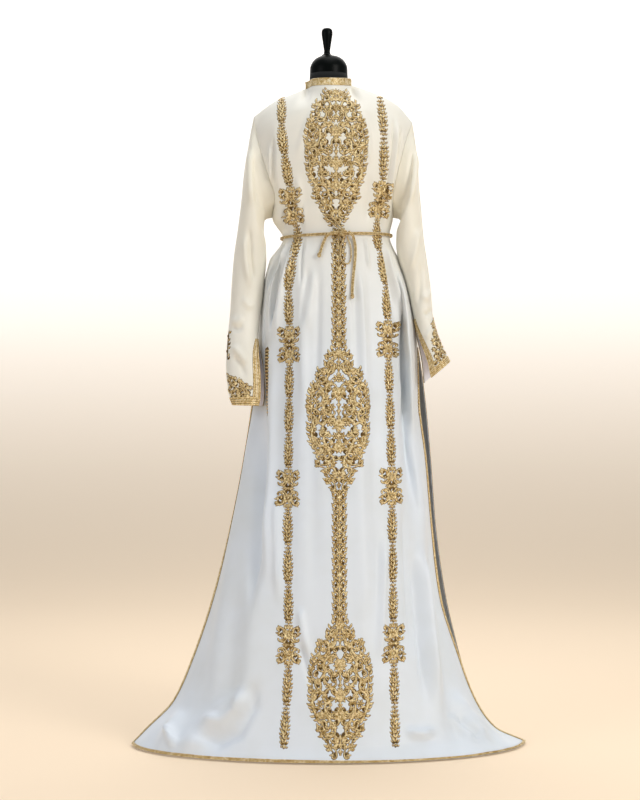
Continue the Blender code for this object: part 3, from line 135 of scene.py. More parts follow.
FOLD_COLUMNS = ("upper_x", "lower_x", "upper_z", "lower_z", "width", "push")
BACK_FOLDS = (
    (-0.098, -0.132, 1.165, 0.960, 0.010, 0.008),
    (-0.112, -0.150, 1.165, 0.900, 0.008, -0.007),
    (0.118, 0.150, 1.165, 0.960, 0.010, 0.007),
    (0.130, 0.168, 1.165, 0.820, 0.008, -0.008),
    (-0.056, -0.064, 1.150, 0.300, 0.018, 0.006),
    (-0.038, -0.040, 1.150, 0.420, 0.014, -0.005),
    (-0.022, -0.026, 1.120, 0.560, 0.013, 0.004),
    (0.060, 0.078, 1.150, 0.280, 0.018, 0.006),
    (0.084, 0.106, 1.130, 0.400, 0.016, -0.006),
    (-0.137, -0.152, 1.120, 0.760, 0.013, 0.008),
    (-0.157, -0.171, 0.860, 0.400, 0.018, -0.014),
    (-0.190, -0.262, 0.760, 0.160, 0.022, 0.010),
    (-0.150, -0.190, 0.560, 0.050, 0.026, 0.012),
    (0.172, 0.200, 0.980, 0.420, 0.016, -0.012),
    (0.196, 0.247, 0.620, 0.050, 0.020, 0.014),
    (0.220, 0.282, 0.480, 0.040, 0.018, -0.010),
    (-0.215, -0.330, 0.130, 0.006, 0.024, 0.016),
    (-0.345, -0.385, 0.080, 0.010, 0.016, 0.012),
    (0.285, 0.355, 0.120, 0.010, 0.020, 0.014),
    (0.325, 0.400, 0.070, 0.010, 0.014, 0.010),
    (-0.122, -0.112, 1.440, 1.230, 0.012, 0.006),
    (0.140, 0.128, 1.450, 1.230, 0.014, 0.007),
    (0.124, 0.118, 1.430, 1.240, 0.010, -0.005),
)
FRONT_FOLDS = (
    (-0.096, -0.150, 1.165, 0.500, 0.014, 0.008),
    (-0.070, -0.108, 1.165, 0.080, 0.018, 0.009),
    (-0.040, -0.055, 1.150, 0.120, 0.016, -0.008),
    (-0.125, -0.190, 1.120, 0.060, 0.020, -0.010),
    (0.062, 0.085, 1.150, 0.120, 0.016, -0.008),
    (0.092, 0.140, 1.165, 0.080, 0.018, 0.009),
    (0.118, 0.185, 1.165, 0.400, 0.014, 0.008),
    (0.150, 0.255, 1.120, 0.060, 0.022, -0.011),
)

# Creases too fine for the solids: half width, push out, then points across and up along the crease
BACK_CREASES = (
    (0.0034, -0.0099, ((-0.1050, 1.183), (-0.1155, 1.156), (-0.1431, 1.052))),
    (0.0045, 0.0099, ((-0.0960, 1.180), (-0.1060, 1.150), (-0.1270, 1.080), (-0.1390, 0.990))),
    (0.0032, -0.0092, ((-0.0880, 1.182), (-0.1052, 1.125), (-0.1222, 1.060), (-0.1322, 0.998),
                       (-0.1356, 0.945))),
    (0.0040, 0.0066, ((-0.0790, 1.178), (-0.0870, 1.140), (-0.0990, 1.085))),
    (0.0034, -0.0077, ((-0.0620, 1.180), (-0.0660, 1.135), (-0.0680, 1.060))),
    (0.0038, 0.0077, ((0.0800, 1.182), (0.0860, 1.150), (0.0900, 1.100))),
    (0.0034, -0.0092, ((0.1150, 1.184), (0.1260, 1.140), (0.1400, 1.070), (0.1500, 0.990))),
    (0.0042, 0.0099, ((0.1270, 1.184), (0.1400, 1.130), (0.1560, 1.040), (0.1640, 0.960))),
    (0.0060, 0.0133, ((0.1400, 1.120), (0.1530, 1.040), (0.1600, 0.960), (0.1640, 0.860), (0.1680, 0.740))),
    (0.0040, 0.0066, ((-0.1402, 1.400), (-0.1402, 1.350), (-0.1380, 1.300))),
    (0.0032, -0.0066, ((-0.1310, 1.420), (-0.1320, 1.350), (-0.1270, 1.290))),
    (0.0045, -0.0107, ((-0.1150, 1.196), (-0.1080, 1.225), (-0.1060, 1.262))),
    (0.0040, 0.0075, ((-0.1030, 1.196), (-0.0980, 1.222), (-0.0960, 1.250))),
    (0.0036, -0.0057, ((-0.0680, 1.195), (-0.0660, 1.225), (-0.0650, 1.262))),
    (0.0040, -0.0088, ((0.1722, 1.450), (0.1578, 1.382), (0.1438, 1.290), (0.1380, 1.230))),
    (0.0046, 0.0088, ((0.1610, 1.470), (0.1500, 1.382), (0.1370, 1.290), (0.1320, 1.215))),
    (0.0036, -0.0070, ((0.1515, 1.476), (0.1420, 1.382), (0.1300, 1.280), (0.1270, 1.220))),
    (0.0036, -0.0066, ((0.1230, 1.196), (0.1210, 1.228), (0.1190, 1.262))),
    (0.0100, 0.0066, ((-0.0563, 1.100), (-0.0606, 0.961), (-0.0580, 0.754))),
    (0.0080, -0.0062, ((-0.0261, 1.120), (-0.0284, 0.961), (-0.0329, 0.800))),
    (0.0100, 0.0075, ((0.0690, 1.120), (0.0775, 0.961), (0.0857, 0.754))),
    (0.0090, -0.0066, ((0.0560, 1.120), (0.0590, 0.961), (0.0620, 0.800))),
    (0.0110, 0.0111, ((-0.1296, 0.938), (-0.1356, 0.754), (-0.1413, 0.529), (-0.1380, 0.350))),
    (0.0120, -0.0155, ((-0.1573, 0.754), (-0.1658, 0.617), (-0.1695, 0.440), (-0.1780, 0.300))),
    (0.0100, 0.0088, ((-0.1210, 0.600), (-0.1180, 0.450), (-0.1160, 0.330))),
    (0.0120, -0.0153, ((-0.1640, 0.180), (-0.1721, 0.1145), (-0.2029, 0.0600), (-0.2517, 0.0380),
                       (-0.3216, 0.0560))),
    (0.0110, 0.0136, ((-0.1900, 0.160), (-0.2040, 0.105), (-0.2400, 0.0760), (-0.3000, 0.0820))),
    (0.0080, 0.0155, ((-0.3709, 0.0560), (-0.3593, 0.0400), (-0.3472, 0.0150))),
    (0.0070, -0.0088, ((-0.0684, 0.264), (-0.0550, 0.210), (-0.0349, 0.157))),
    (0.0080, 0.0079, ((-0.0686, 0.340), (-0.0618, 0.286), (-0.0461, 0.221))),
    (0.0110, 0.0153, ((0.2000, 0.480), (0.2082, 0.416), (0.2218, 0.262), (0.2403, 0.086))),
    (0.0090, -0.0155, ((0.1880, 0.470), (0.1940, 0.400), (0.2030, 0.262), (0.2180, 0.100))),
    (0.0080, 0.0133, ((0.1636, 0.062), (0.2075, 0.052), (0.2363, 0.062))),
    (0.0080, 0.0136, ((0.2677, 0.090), (0.3050, 0.045), (0.3329, 0.014))),
    (0.0070, -0.0133, ((0.2810, 0.080), (0.3180, 0.042), (0.3440, 0.014))),
    (0.0070, 0.0133, ((0.2944, 0.072), (0.3553, 0.016))),
    (0.0090, 0.0111, ((0.1250, 0.500), (0.1180, 0.350), (0.1100, 0.200))),
    (0.0090, -0.0111, ((0.1730, 0.600), (0.1760, 0.420), (0.1850, 0.200))),
    (0.0060, 0.0044, ((-0.0300, 1.500), (-0.0560, 1.440), (-0.0820, 1.360))),
    (0.0060, 0.0044, ((0.0700, 1.490), (0.0880, 1.420), (0.0960, 1.340))),
    (0.0080, 0.0048, ((-0.0760, 1.330), (-0.0700, 1.260), (-0.0640, 1.210))),
    (0.0080, -0.0048, ((0.0930, 1.330), (0.0900, 1.260), (0.0850, 1.210))),
)
FRONT_CREASES = (
    (0.0040, -0.0088, ((-0.0960, 1.182), (-0.1080, 1.130), (-0.1240, 1.040))),
    (0.0040, 0.0084, ((-0.0840, 1.180), (-0.0930, 1.120), (-0.1060, 1.010))),
    (0.0036, -0.0075, ((-0.0560, 1.182), (-0.0600, 1.130), (-0.0680, 1.050))),
    (0.0040, 0.0084, ((0.0780, 1.182), (0.0860, 1.120), (0.0980, 1.010))),
    (0.0036, -0.0088, ((0.1080, 1.184), (0.1200, 1.130), (0.1400, 1.040))),
    (0.0040, 0.0079, ((0.1260, 1.184), (0.1400, 1.120), (0.1560, 1.030))),
    (0.0046, -0.0079, ((-0.1120, 1.200), (-0.1060, 1.240), (-0.1100, 1.330))),
    (0.0046, 0.0079, ((-0.0960, 1.200), (-0.0920, 1.240), (-0.1000, 1.340))),
    (0.0046, -0.0079, ((0.1200, 1.200), (0.1180, 1.240), (0.1240, 1.340))),
    (0.0046, 0.0075, ((0.1060, 1.200), (0.1040, 1.240), (0.1120, 1.350))),
    (0.0110, 0.0099, ((-0.1300, 0.900), (-0.1420, 0.650), (-0.1600, 0.300))),
    (0.0110, 0.0099, ((0.1500, 0.850), (0.1800, 0.550), (0.2200, 0.200))),
    (0.0110, -0.0111, ((-0.0300, 0.900), (-0.0420, 0.600), (-0.0600, 0.200))),
    (0.0110, 0.0099, ((0.0900, 0.800), (0.1150, 0.500), (0.1500, 0.120))),
)

RING_COLUMNS = ("outer_x", "outer_z", "inner_x", "inner_z", "y", "half_y", "slit")
LEFT_RINGS = (
    (-0.1890, 1.438, -0.1510, 1.2310, 0.000, 0.054, 0),
    (-0.1975, 1.385, -0.1555, 1.2260, -0.006, 0.059, 0),
    (-0.2055, 1.330, -0.1570, 1.2000, -0.011, 0.057, 0),
    (-0.2110, 1.270, -0.1520, 1.1700, -0.016, 0.051, 0),
    (-0.2190, 1.205, -0.1510, 1.1350, -0.018, 0.046, 0),
    (-0.2280, 1.140, -0.1540, 1.0950, -0.020, 0.043, 0),
    (-0.2330, 1.075, -0.1580, 1.0500, -0.024, 0.041, 0),
    (-0.2365, 1.010, -0.1650, 1.0000, -0.030, 0.040, 0),
    (-0.2415, 0.953, -0.1700, 0.9480, -0.044, 0.038, 0),
    (-0.2425, 0.938, -0.1690, 0.9320, -0.049, 0.037, 10),
    (-0.2435, 0.917, -0.1640, 0.9090, -0.056, 0.036, 24),
    (-0.2445, 0.890, -0.1580, 0.8800, -0.063, 0.035, 32),
    (-0.2440, 0.862, -0.1550, 0.8500, -0.070, 0.034, 34),
    (-0.2400, 0.830, -0.1545, 0.8180, -0.075, 0.033, 35),
    (-0.2350, 0.806, -0.1555, 0.7990, -0.078, 0.032, 38),
    (-0.2280, 0.788, -0.1580, 0.7860, -0.080, 0.031, 42),
)
RIGHT_RINGS = (
    (0.2020, 1.425, 0.1640, 1.2310, 0.000, 0.054, 0),
    (0.2080, 1.370, 0.1680, 1.2250, -0.006, 0.059, 0),
    (0.2120, 1.310, 0.1580, 1.2000, -0.011, 0.057, 0),
    (0.2170, 1.250, 0.1570, 1.1700, -0.016, 0.051, 0),
    (0.2220, 1.190, 0.1610, 1.1350, -0.018, 0.046, 0),
    (0.2310, 1.125, 0.1740, 1.0950, -0.020, 0.043, 0),
    (0.2390, 1.060, 0.1870, 1.0450, -0.024, 0.040, 0),
    (0.2430, 1.005, 0.1980, 0.9960, -0.030, 0.038, 0),
    (0.2460, 0.984, 0.2020, 0.9740, -0.033, 0.038, 10),
    (0.2520, 0.960, 0.2060, 0.9480, -0.037, 0.038, 28),
    (0.2600, 0.938, 0.2130, 0.9150, -0.042, 0.040, 42),
    (0.2680, 0.920, 0.2180, 0.8850, -0.048, 0.041, 52),
    (0.2755, 0.904, 0.2200, 0.8600, -0.052, 0.041, 56),
    (0.2820, 0.890, 0.2220, 0.8400, -0.056, 0.040, 58),
)
# Deeper pleats of the back below the belt: half width, push towards the front, points across and up
PLEATS = (
    (0.0125, 0.034, ((0.1360, 1.150), (0.1540, 1.050), (0.1640, 0.980), (0.1700, 0.900), (0.1740, 0.800),
                     (0.1800, 0.700), (0.1900, 0.580), (0.2020, 0.460))),
    (0.0070, -0.036, ((0.1560, 1.120), (0.1740, 1.050), (0.1850, 0.980), (0.1920, 0.900), (0.1960, 0.800),
                      (0.2020, 0.700))),
    (0.0050, 0.015, ((-0.1150, 1.156), (-0.1330, 1.100), (-0.1442, 1.050), (-0.1500, 0.960),
                     (-0.1560, 0.870))),
    (0.0050, -0.010, ((-0.1100, 1.158), (-0.1290, 1.085), (-0.1385, 1.020), (-0.1430, 0.950))),
    (0.0048, 0.012, ((-0.1033, 1.161), (-0.1237, 1.072), (-0.1330, 1.000), (-0.1390, 0.945))),
    (0.0060, -0.008, ((-0.0960, 1.155), (-0.1120, 1.070), (-0.1210, 0.990), (-0.1260, 0.930))),
    (0.0070, 0.008, ((-0.0487, 1.118), (-0.0587, 1.032), (-0.0656, 0.956))),
    (0.0080, -0.006, ((-0.0370, 1.110), (-0.0460, 1.020), (-0.0510, 0.950))),
)
LEFT_SLEEVE_CREASES = (
    (0.0045, -0.0066, ((-0.2320, 0.972), (-0.2180, 0.966), (-0.2020, 0.974))),
    (0.0070, 0.0057, ((-0.2330, 0.990), (-0.2180, 0.984), (-0.2000, 0.992))),
    (0.0070, 0.0077, ((-0.2000, 1.195), (-0.1980, 1.130), (-0.1880, 1.058))),
    (0.0050, -0.0066, ((-0.1900, 1.210), (-0.1860, 1.140), (-0.1780, 1.070))),
    (0.0090, 0.0066, ((-0.1900, 1.400), (-0.1880, 1.330), (-0.1830, 1.250))),
    (0.0070, -0.0062, ((-0.1780, 1.380), (-0.1750, 1.310), (-0.1680, 1.240))),
    (0.0080, 0.0066, ((-0.2280, 0.930), (-0.2080, 0.905), (-0.1960, 0.880))),
    (0.0070, -0.0057, ((-0.2260, 0.905), (-0.2080, 0.880), (-0.1980, 0.850))),
    (0.0060, 0.0048, ((-0.2080, 1.040), (-0.1900, 1.020), (-0.1760, 1.030))),
)
RIGHT_SLEEVE_CREASES = (
    (0.0070, 0.0077, ((0.2060, 1.400), (0.1980, 1.320), (0.1850, 1.250))),
    (0.0060, -0.0077, ((0.1950, 1.400), (0.1860, 1.320), (0.1740, 1.245))),
    (0.0070, 0.0066, ((0.2100, 1.210), (0.2000, 1.150), (0.1880, 1.100))),
    (0.0060, -0.0062, ((0.2160, 1.130), (0.2120, 1.070), (0.2040, 1.010))),
    (0.0060, 0.0057, ((0.2360, 1.060), (0.2260, 1.040), (0.2120, 1.046))),
    (0.0050, -0.0053, ((0.2400, 1.015), (0.2300, 1.000), (0.2160, 1.006))),
    (0.0060, 0.0053, ((0.2460, 0.975), (0.2340, 0.962), (0.2240, 0.940))),
)
RINGS = {-1: LEFT_RINGS, 1: RIGHT_RINGS}
SLEEVE_CREASES = {-1: LEFT_SLEEVE_CREASES, 1: RIGHT_SLEEVE_CREASES}

# Routes of the bow's cords as (x, z), seen from behind, from the knot outward
TAIL_LEFT = ((0.0190, 1.1900), (0.0060, 1.1890), (-0.0052, 1.1810), (-0.0122, 1.1710),
             (-0.0168, 1.1598), (-0.0203, 1.1480), (-0.0229, 1.1400))
TAIL_RIGHT = ((0.0400, 1.1920), (0.0505, 1.1800), (0.0552, 1.1660), (0.0568, 1.1505), (0.0565, 1.1340),
              (0.0551, 1.1180), (0.0530, 1.0980), (0.0512, 1.0769), (0.0500, 1.0600), (0.0496, 1.0440))
LOOP_LOWER = ((0.0330, 1.1790), (0.0280, 1.1690), (0.0240, 1.1520), (0.0226, 1.1373), (0.0248, 1.1260),
              (0.0310, 1.1170), (0.0390, 1.1140), (0.0450, 1.1200), (0.0472, 1.1340), (0.0470, 1.1505),
              (0.0430, 1.1680), (0.0385, 1.1790))
LOOP_UPPER = ((0.0230, 1.1960), (0.0130, 1.2050), (0.0020, 1.2150), (-0.0070, 1.2220), (-0.0110, 1.2290),
              (-0.0060, 1.2320), (0.0040, 1.2260), (0.0140, 1.2150), (0.0230, 1.2040), (0.0290, 1.1970))
KNOT_CENTRE = (0.0290, 1.1880)

RIB_STEPS = (0.0, 0.13, 0.32, 0.68, 0.87)   # places across one rib of a braid

# For the left (-1) and the right (1) sleeve: the ring where the slit begins, and the width of the
# braid along the slit and round the mouth
CLOSED_RINGS = {-1: 9.2, 1: 8.2}
CUFF_BRAID = {-1: 0.020, 1: 0.017}
MOUTH_BRAID = {-1: 0.019, 1: 0.016}

# Half width and the two half depths of the torso at heights
FORM_SECTIONS = {
    "z": (0.870, 0.900, 0.960, 1.040, 1.110, 1.180, 1.260,
          1.340, 1.445, 1.472, 1.495, 1.515, 1.535, 1.575),
    "half_x": (0.128, 0.137, 0.143, 0.136, 0.118, 0.101, 0.110,
               0.122, 0.136, 0.118, 0.084, 0.058, 0.047, 0.045),
    "back_y": (0.090, 0.098, 0.104, 0.100, 0.088, 0.078, 0.083,
               0.088, 0.072, 0.060, 0.050, 0.046, 0.045, 0.045),
    "front_y": (0.086, 0.090, 0.094, 0.090, 0.082, 0.076, 0.084,
                0.094, 0.064, 0.050, 0.044, 0.043, 0.044, 0.045),
}

# Half widths of the medallions at shares of their height, stepped where the outline is scalloped
UPPER_OUTLINE = (
    (0.000, 0.016), (0.067, 0.027), (0.110, 0.035), (0.183, 0.042), (0.190, 0.056), (0.266, 0.056),
    (0.276, 0.050), (0.291, 0.055), (0.319, 0.062), (0.363, 0.068), (0.436, 0.073), (0.544, 0.075),
    (0.580, 0.073), (0.616, 0.077), (0.688, 0.074), (0.738, 0.071), (0.781, 0.066), (0.800, 0.051),
    (0.811, 0.058), (0.894, 0.057), (0.905, 0.041), (0.977, 0.034), (1.000, 0.028),
)
# This one serves the middle and the lower medallion
MIDDLE_OUTLINE = (
    (0.000, 0.020), (0.056, 0.033), (0.106, 0.036), (0.155, 0.041), (0.163, 0.055), (0.230, 0.055),
    (0.241, 0.050), (0.262, 0.057), (0.298, 0.065), (0.348, 0.070), (0.419, 0.074), (0.504, 0.072),
    (0.583, 0.075), (0.632, 0.073), (0.689, 0.070), (0.739, 0.067), (0.768, 0.061), (0.780, 0.050),
    (0.787, 0.055), (0.855, 0.055), (0.861, 0.040), (0.917, 0.034), (0.945, 0.033), (1.000, 0.021),
)

# Middle lines of the two side columns, and their cartouches as (height, width)
PATH_Z = (1.520, 1.440, 1.375, 1.310, 1.240, 1.187, 1.140, 1.050, 0.925, 0.590, 0.240, 0.030)
LEFT_PATH = (-0.115, -0.113, -0.106, -0.096, -0.087, -0.076, -0.083, -0.096, -0.094, -0.096, -0.094, -0.104)
RIGHT_PATH = (0.118, 0.124, 0.126, 0.124, 0.113, 0.110, 0.117, 0.130, 0.135, 0.141, 0.142, 0.143)
LEFT_CARTOUCHES = ((1.255, 0.029), (0.928, 0.031), (0.598, 0.031), (0.252, 0.031))
RIGHT_CARTOUCHES = ((1.269, 0.023), (0.941, 0.031), (0.603, 0.031), (0.252, 0.031))

# Openings of bare satin in a medallion, as (across, share of the height, half width, half height)
OPENINGS = (
    (0.0135, 0.630, 0.0062, 0.0100), (0.0085, 0.520, 0.0068, 0.0062), (0.0150, 0.400, 0.0058, 0.0105),
    (0.0420, 0.615, 0.0050, 0.0082), (0.0430, 0.420, 0.0054, 0.0078), (0.0000, 0.740, 0.0034, 0.0062),
    (0.0290, 0.790, 0.0046, 0.0050), (0.0240, 0.250, 0.0044, 0.0070), (0.0000, 0.200, 0.0030, 0.0150),
    (0.0330, 0.520, 0.0042, 0.0046), (0.0160, 0.880, 0.0034, 0.0050),
)
# Large scrolls of a medallion, as (across, share of the height, angle, length, hand)
LARGE_SCROLLS = (
    (0.0500, 0.655, 95, 0.118, -1), (0.0510, 0.385, 85, 0.118, 1), (0.0380, 0.270, 40, 0.080, -1),
    (0.0240, 0.700, 130, 0.086, 1), (0.0250, 0.570, 60, 0.080, 1), (0.0250, 0.455, 120, 0.080, 1),
    (0.0230, 0.335, 60, 0.080, 1), (0.0400, 0.800, 110, 0.070, -1), (0.0200, 0.865, 95, 0.064, -1),
    (0.0200, 0.205, 75, 0.072, -1), (0.0150, 0.115, 80, 0.060, -1), (0.0110, 0.950, 100, 0.040, -1),
    (0.0560, 0.520, 90, 0.060, -1),
)

# One rib of the ladder trims at the tops of the slits, as (x, z)
LADDER_RIB = np.array(((-0.0066, 0.0), (-0.0033, 0.0010), (0.0, 0.0013), (0.0033, 0.0010), (0.0066, 0.0)))
# Cross section of a stroke: places across as shares of its half width, heights as shares of its rise
STROKE_OFFSETS = np.array((-1.0, -0.5, 0.5, 1.0))
STROKE_HEIGHTS = np.array((0.0, 0.94, 0.94, 0.0))

# Corners of the embroidered wedge above each cuff: upper outer, upper inner, lower inner, lower outer
CUFF_WEDGES = {
    -1: ((-0.2400, 0.8620), (-0.1850, 0.8310), (-0.1870, 0.8010), (-0.2340, 0.8040)),
    1: ((0.2455, 0.9930), (0.2405, 0.9760), (0.2430, 0.8790), (0.2750, 0.9010)),
}


def smooth(keys, values, where):
    """Cubic through a table that never overshoots: the slope at a point is the harmonic mean of the
    slopes to its neighbours, zero where they differ in sign. Values are (table) or (table, places, n)."""
    keys = np.asarray(keys, float)
    values = np.asarray(values, float)
    where = np.clip(np.asarray(where, float), keys[0], keys[-1])
    secants = np.diff(values, axis=0) / np.diff(keys).reshape((-1,) + (1,) * (values.ndim - 1))
    product = secants[1:] * secants[:-1]
    total = np.where(product > 0, secants[1:] + secants[:-1], 1.0)
    slopes = np.concatenate((secants[:1], np.where(product > 0, 2 * product / total, 0.0), secants[-1:]))
    low = np.clip(np.searchsorted(keys, where, side="right") - 1, 0, len(keys) - 2)
    span = keys[low + 1] - keys[low]
    part = (where - keys[low]) / span
    if values.ndim > 1:
        part, span = part[..., None], span[..., None]

        def pick(table, index):
            """Each place's own row of a table that has a column for every place."""
            return np.take_along_axis(table, index[None, ..., None], axis=0)[0]
    else:
        def pick(table, index):
            """Rows of a plain table."""
            return table[index]
    return ((1 + 2 * part) * (1 - part) ** 2 * pick(values, low)
            + part * (1 - part) ** 2 * span * pick(slopes, low)
            + part ** 2 * (3 - 2 * part) * pick(values, low + 1)
            + part ** 2 * (part - 1) * span * pick(slopes, low + 1))


def unit(vectors):
    """Vectors scaled to length one."""
    return vectors / np.maximum(np.linalg.norm(vectors, axis=-1, keepdims=True), 1e-12)


def arcs(sections, across):
    """Points of every section at places across: an arc squeezed between its two edges and its middle.
    The arc's sine carries a point sideways and one minus its cosine carries it from middle to edge."""
    table = np.array(sections, float)
    row = {name: table[:, i].reshape((-1,) + (1,) * across.ndim) for i, name in enumerate(SECTION_COLUMNS)}
    limit = np.radians(row["angle"])
    side = np.sin(across * limit) / np.sin(limit)
    lift = (1 - np.cos(across * limit)) / (1 - np.cos(limit))
    middle_x = (row["left_x"] + row["right_x"]) / 2
    half = (row["right_x"] - row["left_x"]) / 2
    edge_y = np.where(across < 0, row["left_y"], row["right_y"])
    edge_z = np.where(across < 0, row["left_z"], row["right_z"])
    return np.stack((middle_x + half * side, row["y"] + (edge_y - row["y"]) * lift,
                     row["z"] + (edge_z - row["z"]) * lift), axis=-1)


def section_keys(front):
    """Distance down a panel, along its middle, to each of its rows."""
    sections = np.array(FRONT_SECTIONS if front else BACK_SECTIONS)
    steps = np.linalg.norm(np.diff(sections[:, :2], axis=0), axis=1)
    return np.concatenate(((0.0,), np.cumsum(np.concatenate(((0.016, 0.055), steps)))))


def bare_panel(across, down, front):
    """Point of a panel without folds: its rows, shoulder edge first, joined smoothly down the panel."""
    top = np.stack([smooth(TOP_EDGE["across"], TOP_EDGE[axis], across) for axis in "xyz"], axis=-1)
    if front:
        neck = np.stack([smooth(FRONT_NECK["across"], FRONT_NECK[axis], across) for axis in "xyz"], axis=-1)
        inside = (across > FRONT_NECK["across"][0]) & (across < FRONT_NECK["across"][-1])
        top = np.where(inside[..., None], neck, top)
    outward = 1 if front else -1
    near_neck = np.exp(-(across / 0.34) ** 6)[..., None]
    second = top + near_neck * np.array((0.0, outward * 0.005, -0.014))
    second = second + (1 - near_neck) * np.array((0.0, outward * 0.018, -0.003))
    rows = np.concatenate((top[None], second[None], arcs(FRONT_SECTIONS if front else BACK_SECTIONS, across)))
    return smooth(section_keys(front), rows, down)


def fold_push(points, across, sections, folds):
    """How far the folds push each point out: each fold is a soft ridge along a slanting line."""
    z = points[..., 2]
    push = np.zeros_like(z)
    table = np.array(sections)
    keys = -table[:, 1]
    middle = smooth(keys, (table[:, 2] + table[:, 5]) / 2, -z)
    half = smooth(keys, (table[:, 5] - table[:, 2]) / 2, -z)
    limit = np.radians(smooth(keys, table[:, 8], -z))
    for fold in folds:
        row = dict(zip(FOLD_COLUMNS, fold))
        down = np.clip((row["upper_z"] - z) / (row["upper_z"] - row["lower_z"]), 0, 1)
        line_x = row["upper_x"] + (row["lower_x"] - row["upper_x"]) * down
        share = np.clip((line_x - middle) / half, -0.97, 0.97)
        line_across = np.arcsin(share * np.sin(limit)) / limit
        width = row["width"] / half / np.cos(line_across * limit) ** 0.5
        reach = 0.12 * (row["upper_z"] - row["lower_z"]) + 0.01
        ends = np.clip((row["upper_z"] + reach - z) / (2 * reach), 0, 1)
        ends = ends * np.clip((z - row["lower_z"] + reach) / (2 * reach), 0, 1)
        push += row["push"] * np.exp(-((across - line_across) / width) ** 2) * ends * ends * (3 - 2 * ends)
    near_waist = 1 - np.exp(-((z - WAIST_Z) / 0.022) ** 2)
    return push * near_waist * np.clip((1 - np.abs(across)) / 0.10, 0, 1) * np.clip(z / 0.03, 0, 1)


def crease_push(points, creases):
    """Push of fine creases: a bell curve of the distance to a line drawn over the cloth, seen square
    on, which fades towards both of its ends."""
    flat = points[..., (0, 2)]
    push = np.zeros(flat.shape[:-1])
    for width, height, line in creases:
        line = np.array(line)
        lengths = np.linalg.norm(np.diff(line, axis=0), axis=1)
        starts = np.concatenate(((0.0,), np.cumsum(lengths)))
        nearest = np.full(push.shape, 1.0)
        along = np.zeros(push.shape)
        for start, corner, after, length in zip(starts, line, line[1:], lengths):
            way = (after - corner) / length
            part = np.clip((flat - corner) @ way, 0, length)
            distance = np.linalg.norm(flat - corner - part[..., None] * way, axis=-1)
            closer = distance < nearest
            nearest = np.where(closer, distance, nearest)
            along = np.where(closer, (start + part) / starts[-1], along)
        ends = np.clip(along / 0.25, 0, 1) * np.clip((1 - along) / 0.3, 0, 1)
        push += height * np.exp(-(nearest / width) ** 2) * ends * ends * (3 - 2 * ends)
    return push


def panel(across, down, front, lift=0.0):
    """Point of a panel with its folds and creases, moved out by lift along the unfolded normal."""
    step_across, step_down = 0.004, 0.003
    here = bare_panel(across, down, front)
    change_across = bare_panel(np.clip(across + step_across, -1, 1), down, front)
    change_across = change_across - bare_panel(np.clip(across - step_across, -1, 1), down, front)
    last = section_keys(front)[-1]
    change_down = bare_panel(across, np.clip(down + step_down, 0, last), front)
    change_down = change_down - bare_panel(across, np.clip(down - step_down, 0, last), front)
    normal = unit(np.cross(change_across, change_down) if front else np.cross(change_down, change_across))
    sections = FRONT_SECTIONS if front else BACK_SECTIONS
    push = fold_push(here, across, sections, FRONT_FOLDS if front else BACK_FOLDS)
    edge = np.clip((1 - np.abs(across)) / 0.05, 0, 1) * np.clip(here[..., 2] / 0.03, 0, 1)
    push = push + edge * crease_push(here, FRONT_CREASES if front else BACK_CREASES)
    moved = here + normal * (push + lift)[..., None]
    if not front:
        moved[..., 1] += edge * crease_push(here, PLEATS)
    return moved, normal


def linear(code):
    """An sRGB hex colour as linear light: the low end is a straight line, the rest a power of 2.4."""
    share = np.array([int(code[i:i + 2], 16) for i in (1, 3, 5)]) / 255
    light = np.where(share <= 0.04045, share / 12.92, ((share + 0.055) / 1.055) ** 2.4)
    return (*[float(value) for value in light], 1.0)


def add(tree, kind, props=None, values=None, links=None):
    """Add one node with its properties, the values of its sockets and what is linked into them."""
    item = tree.nodes.new(kind)
    for key, value in (props or {}).items():
        setattr(item, key, value)
    for key, value in (values or {}).items():
        item.inputs[key].default_value = value
    for key, source in (links or {}).items():
        tree.links.new(source, item.inputs[key])
    return item


def ramp(tree, source, stops):
    """Colours at places along a value, as a colour ramp."""
    item = add(tree, "ShaderNodeValToRGB", links={"Fac": source})
    bar = item.color_ramp
    while len(bar.elements) < len(stops):
        bar.elements.new(0.5)
    for element, (place, code) in zip(bar.elements, stops):
        element.position = place
        element.color = linear(code)
    return item.outputs["Color"]


def new_material(name, **sockets):
    """A material with one Principled shader whose plain sockets are set here."""
    material = bpy.data.materials.new(name)
    material.use_nodes = True
    tree = material.node_tree
    shader = tree.nodes["Principled BSDF"]
    for key, value in sockets.items():
        shader.inputs[key.replace("_", " ")].default_value = value
    return material, tree, shader


def per_mm(size):
    """Scale of a pattern whose cells are this many millimetres wide."""
    return 1000.0 / size


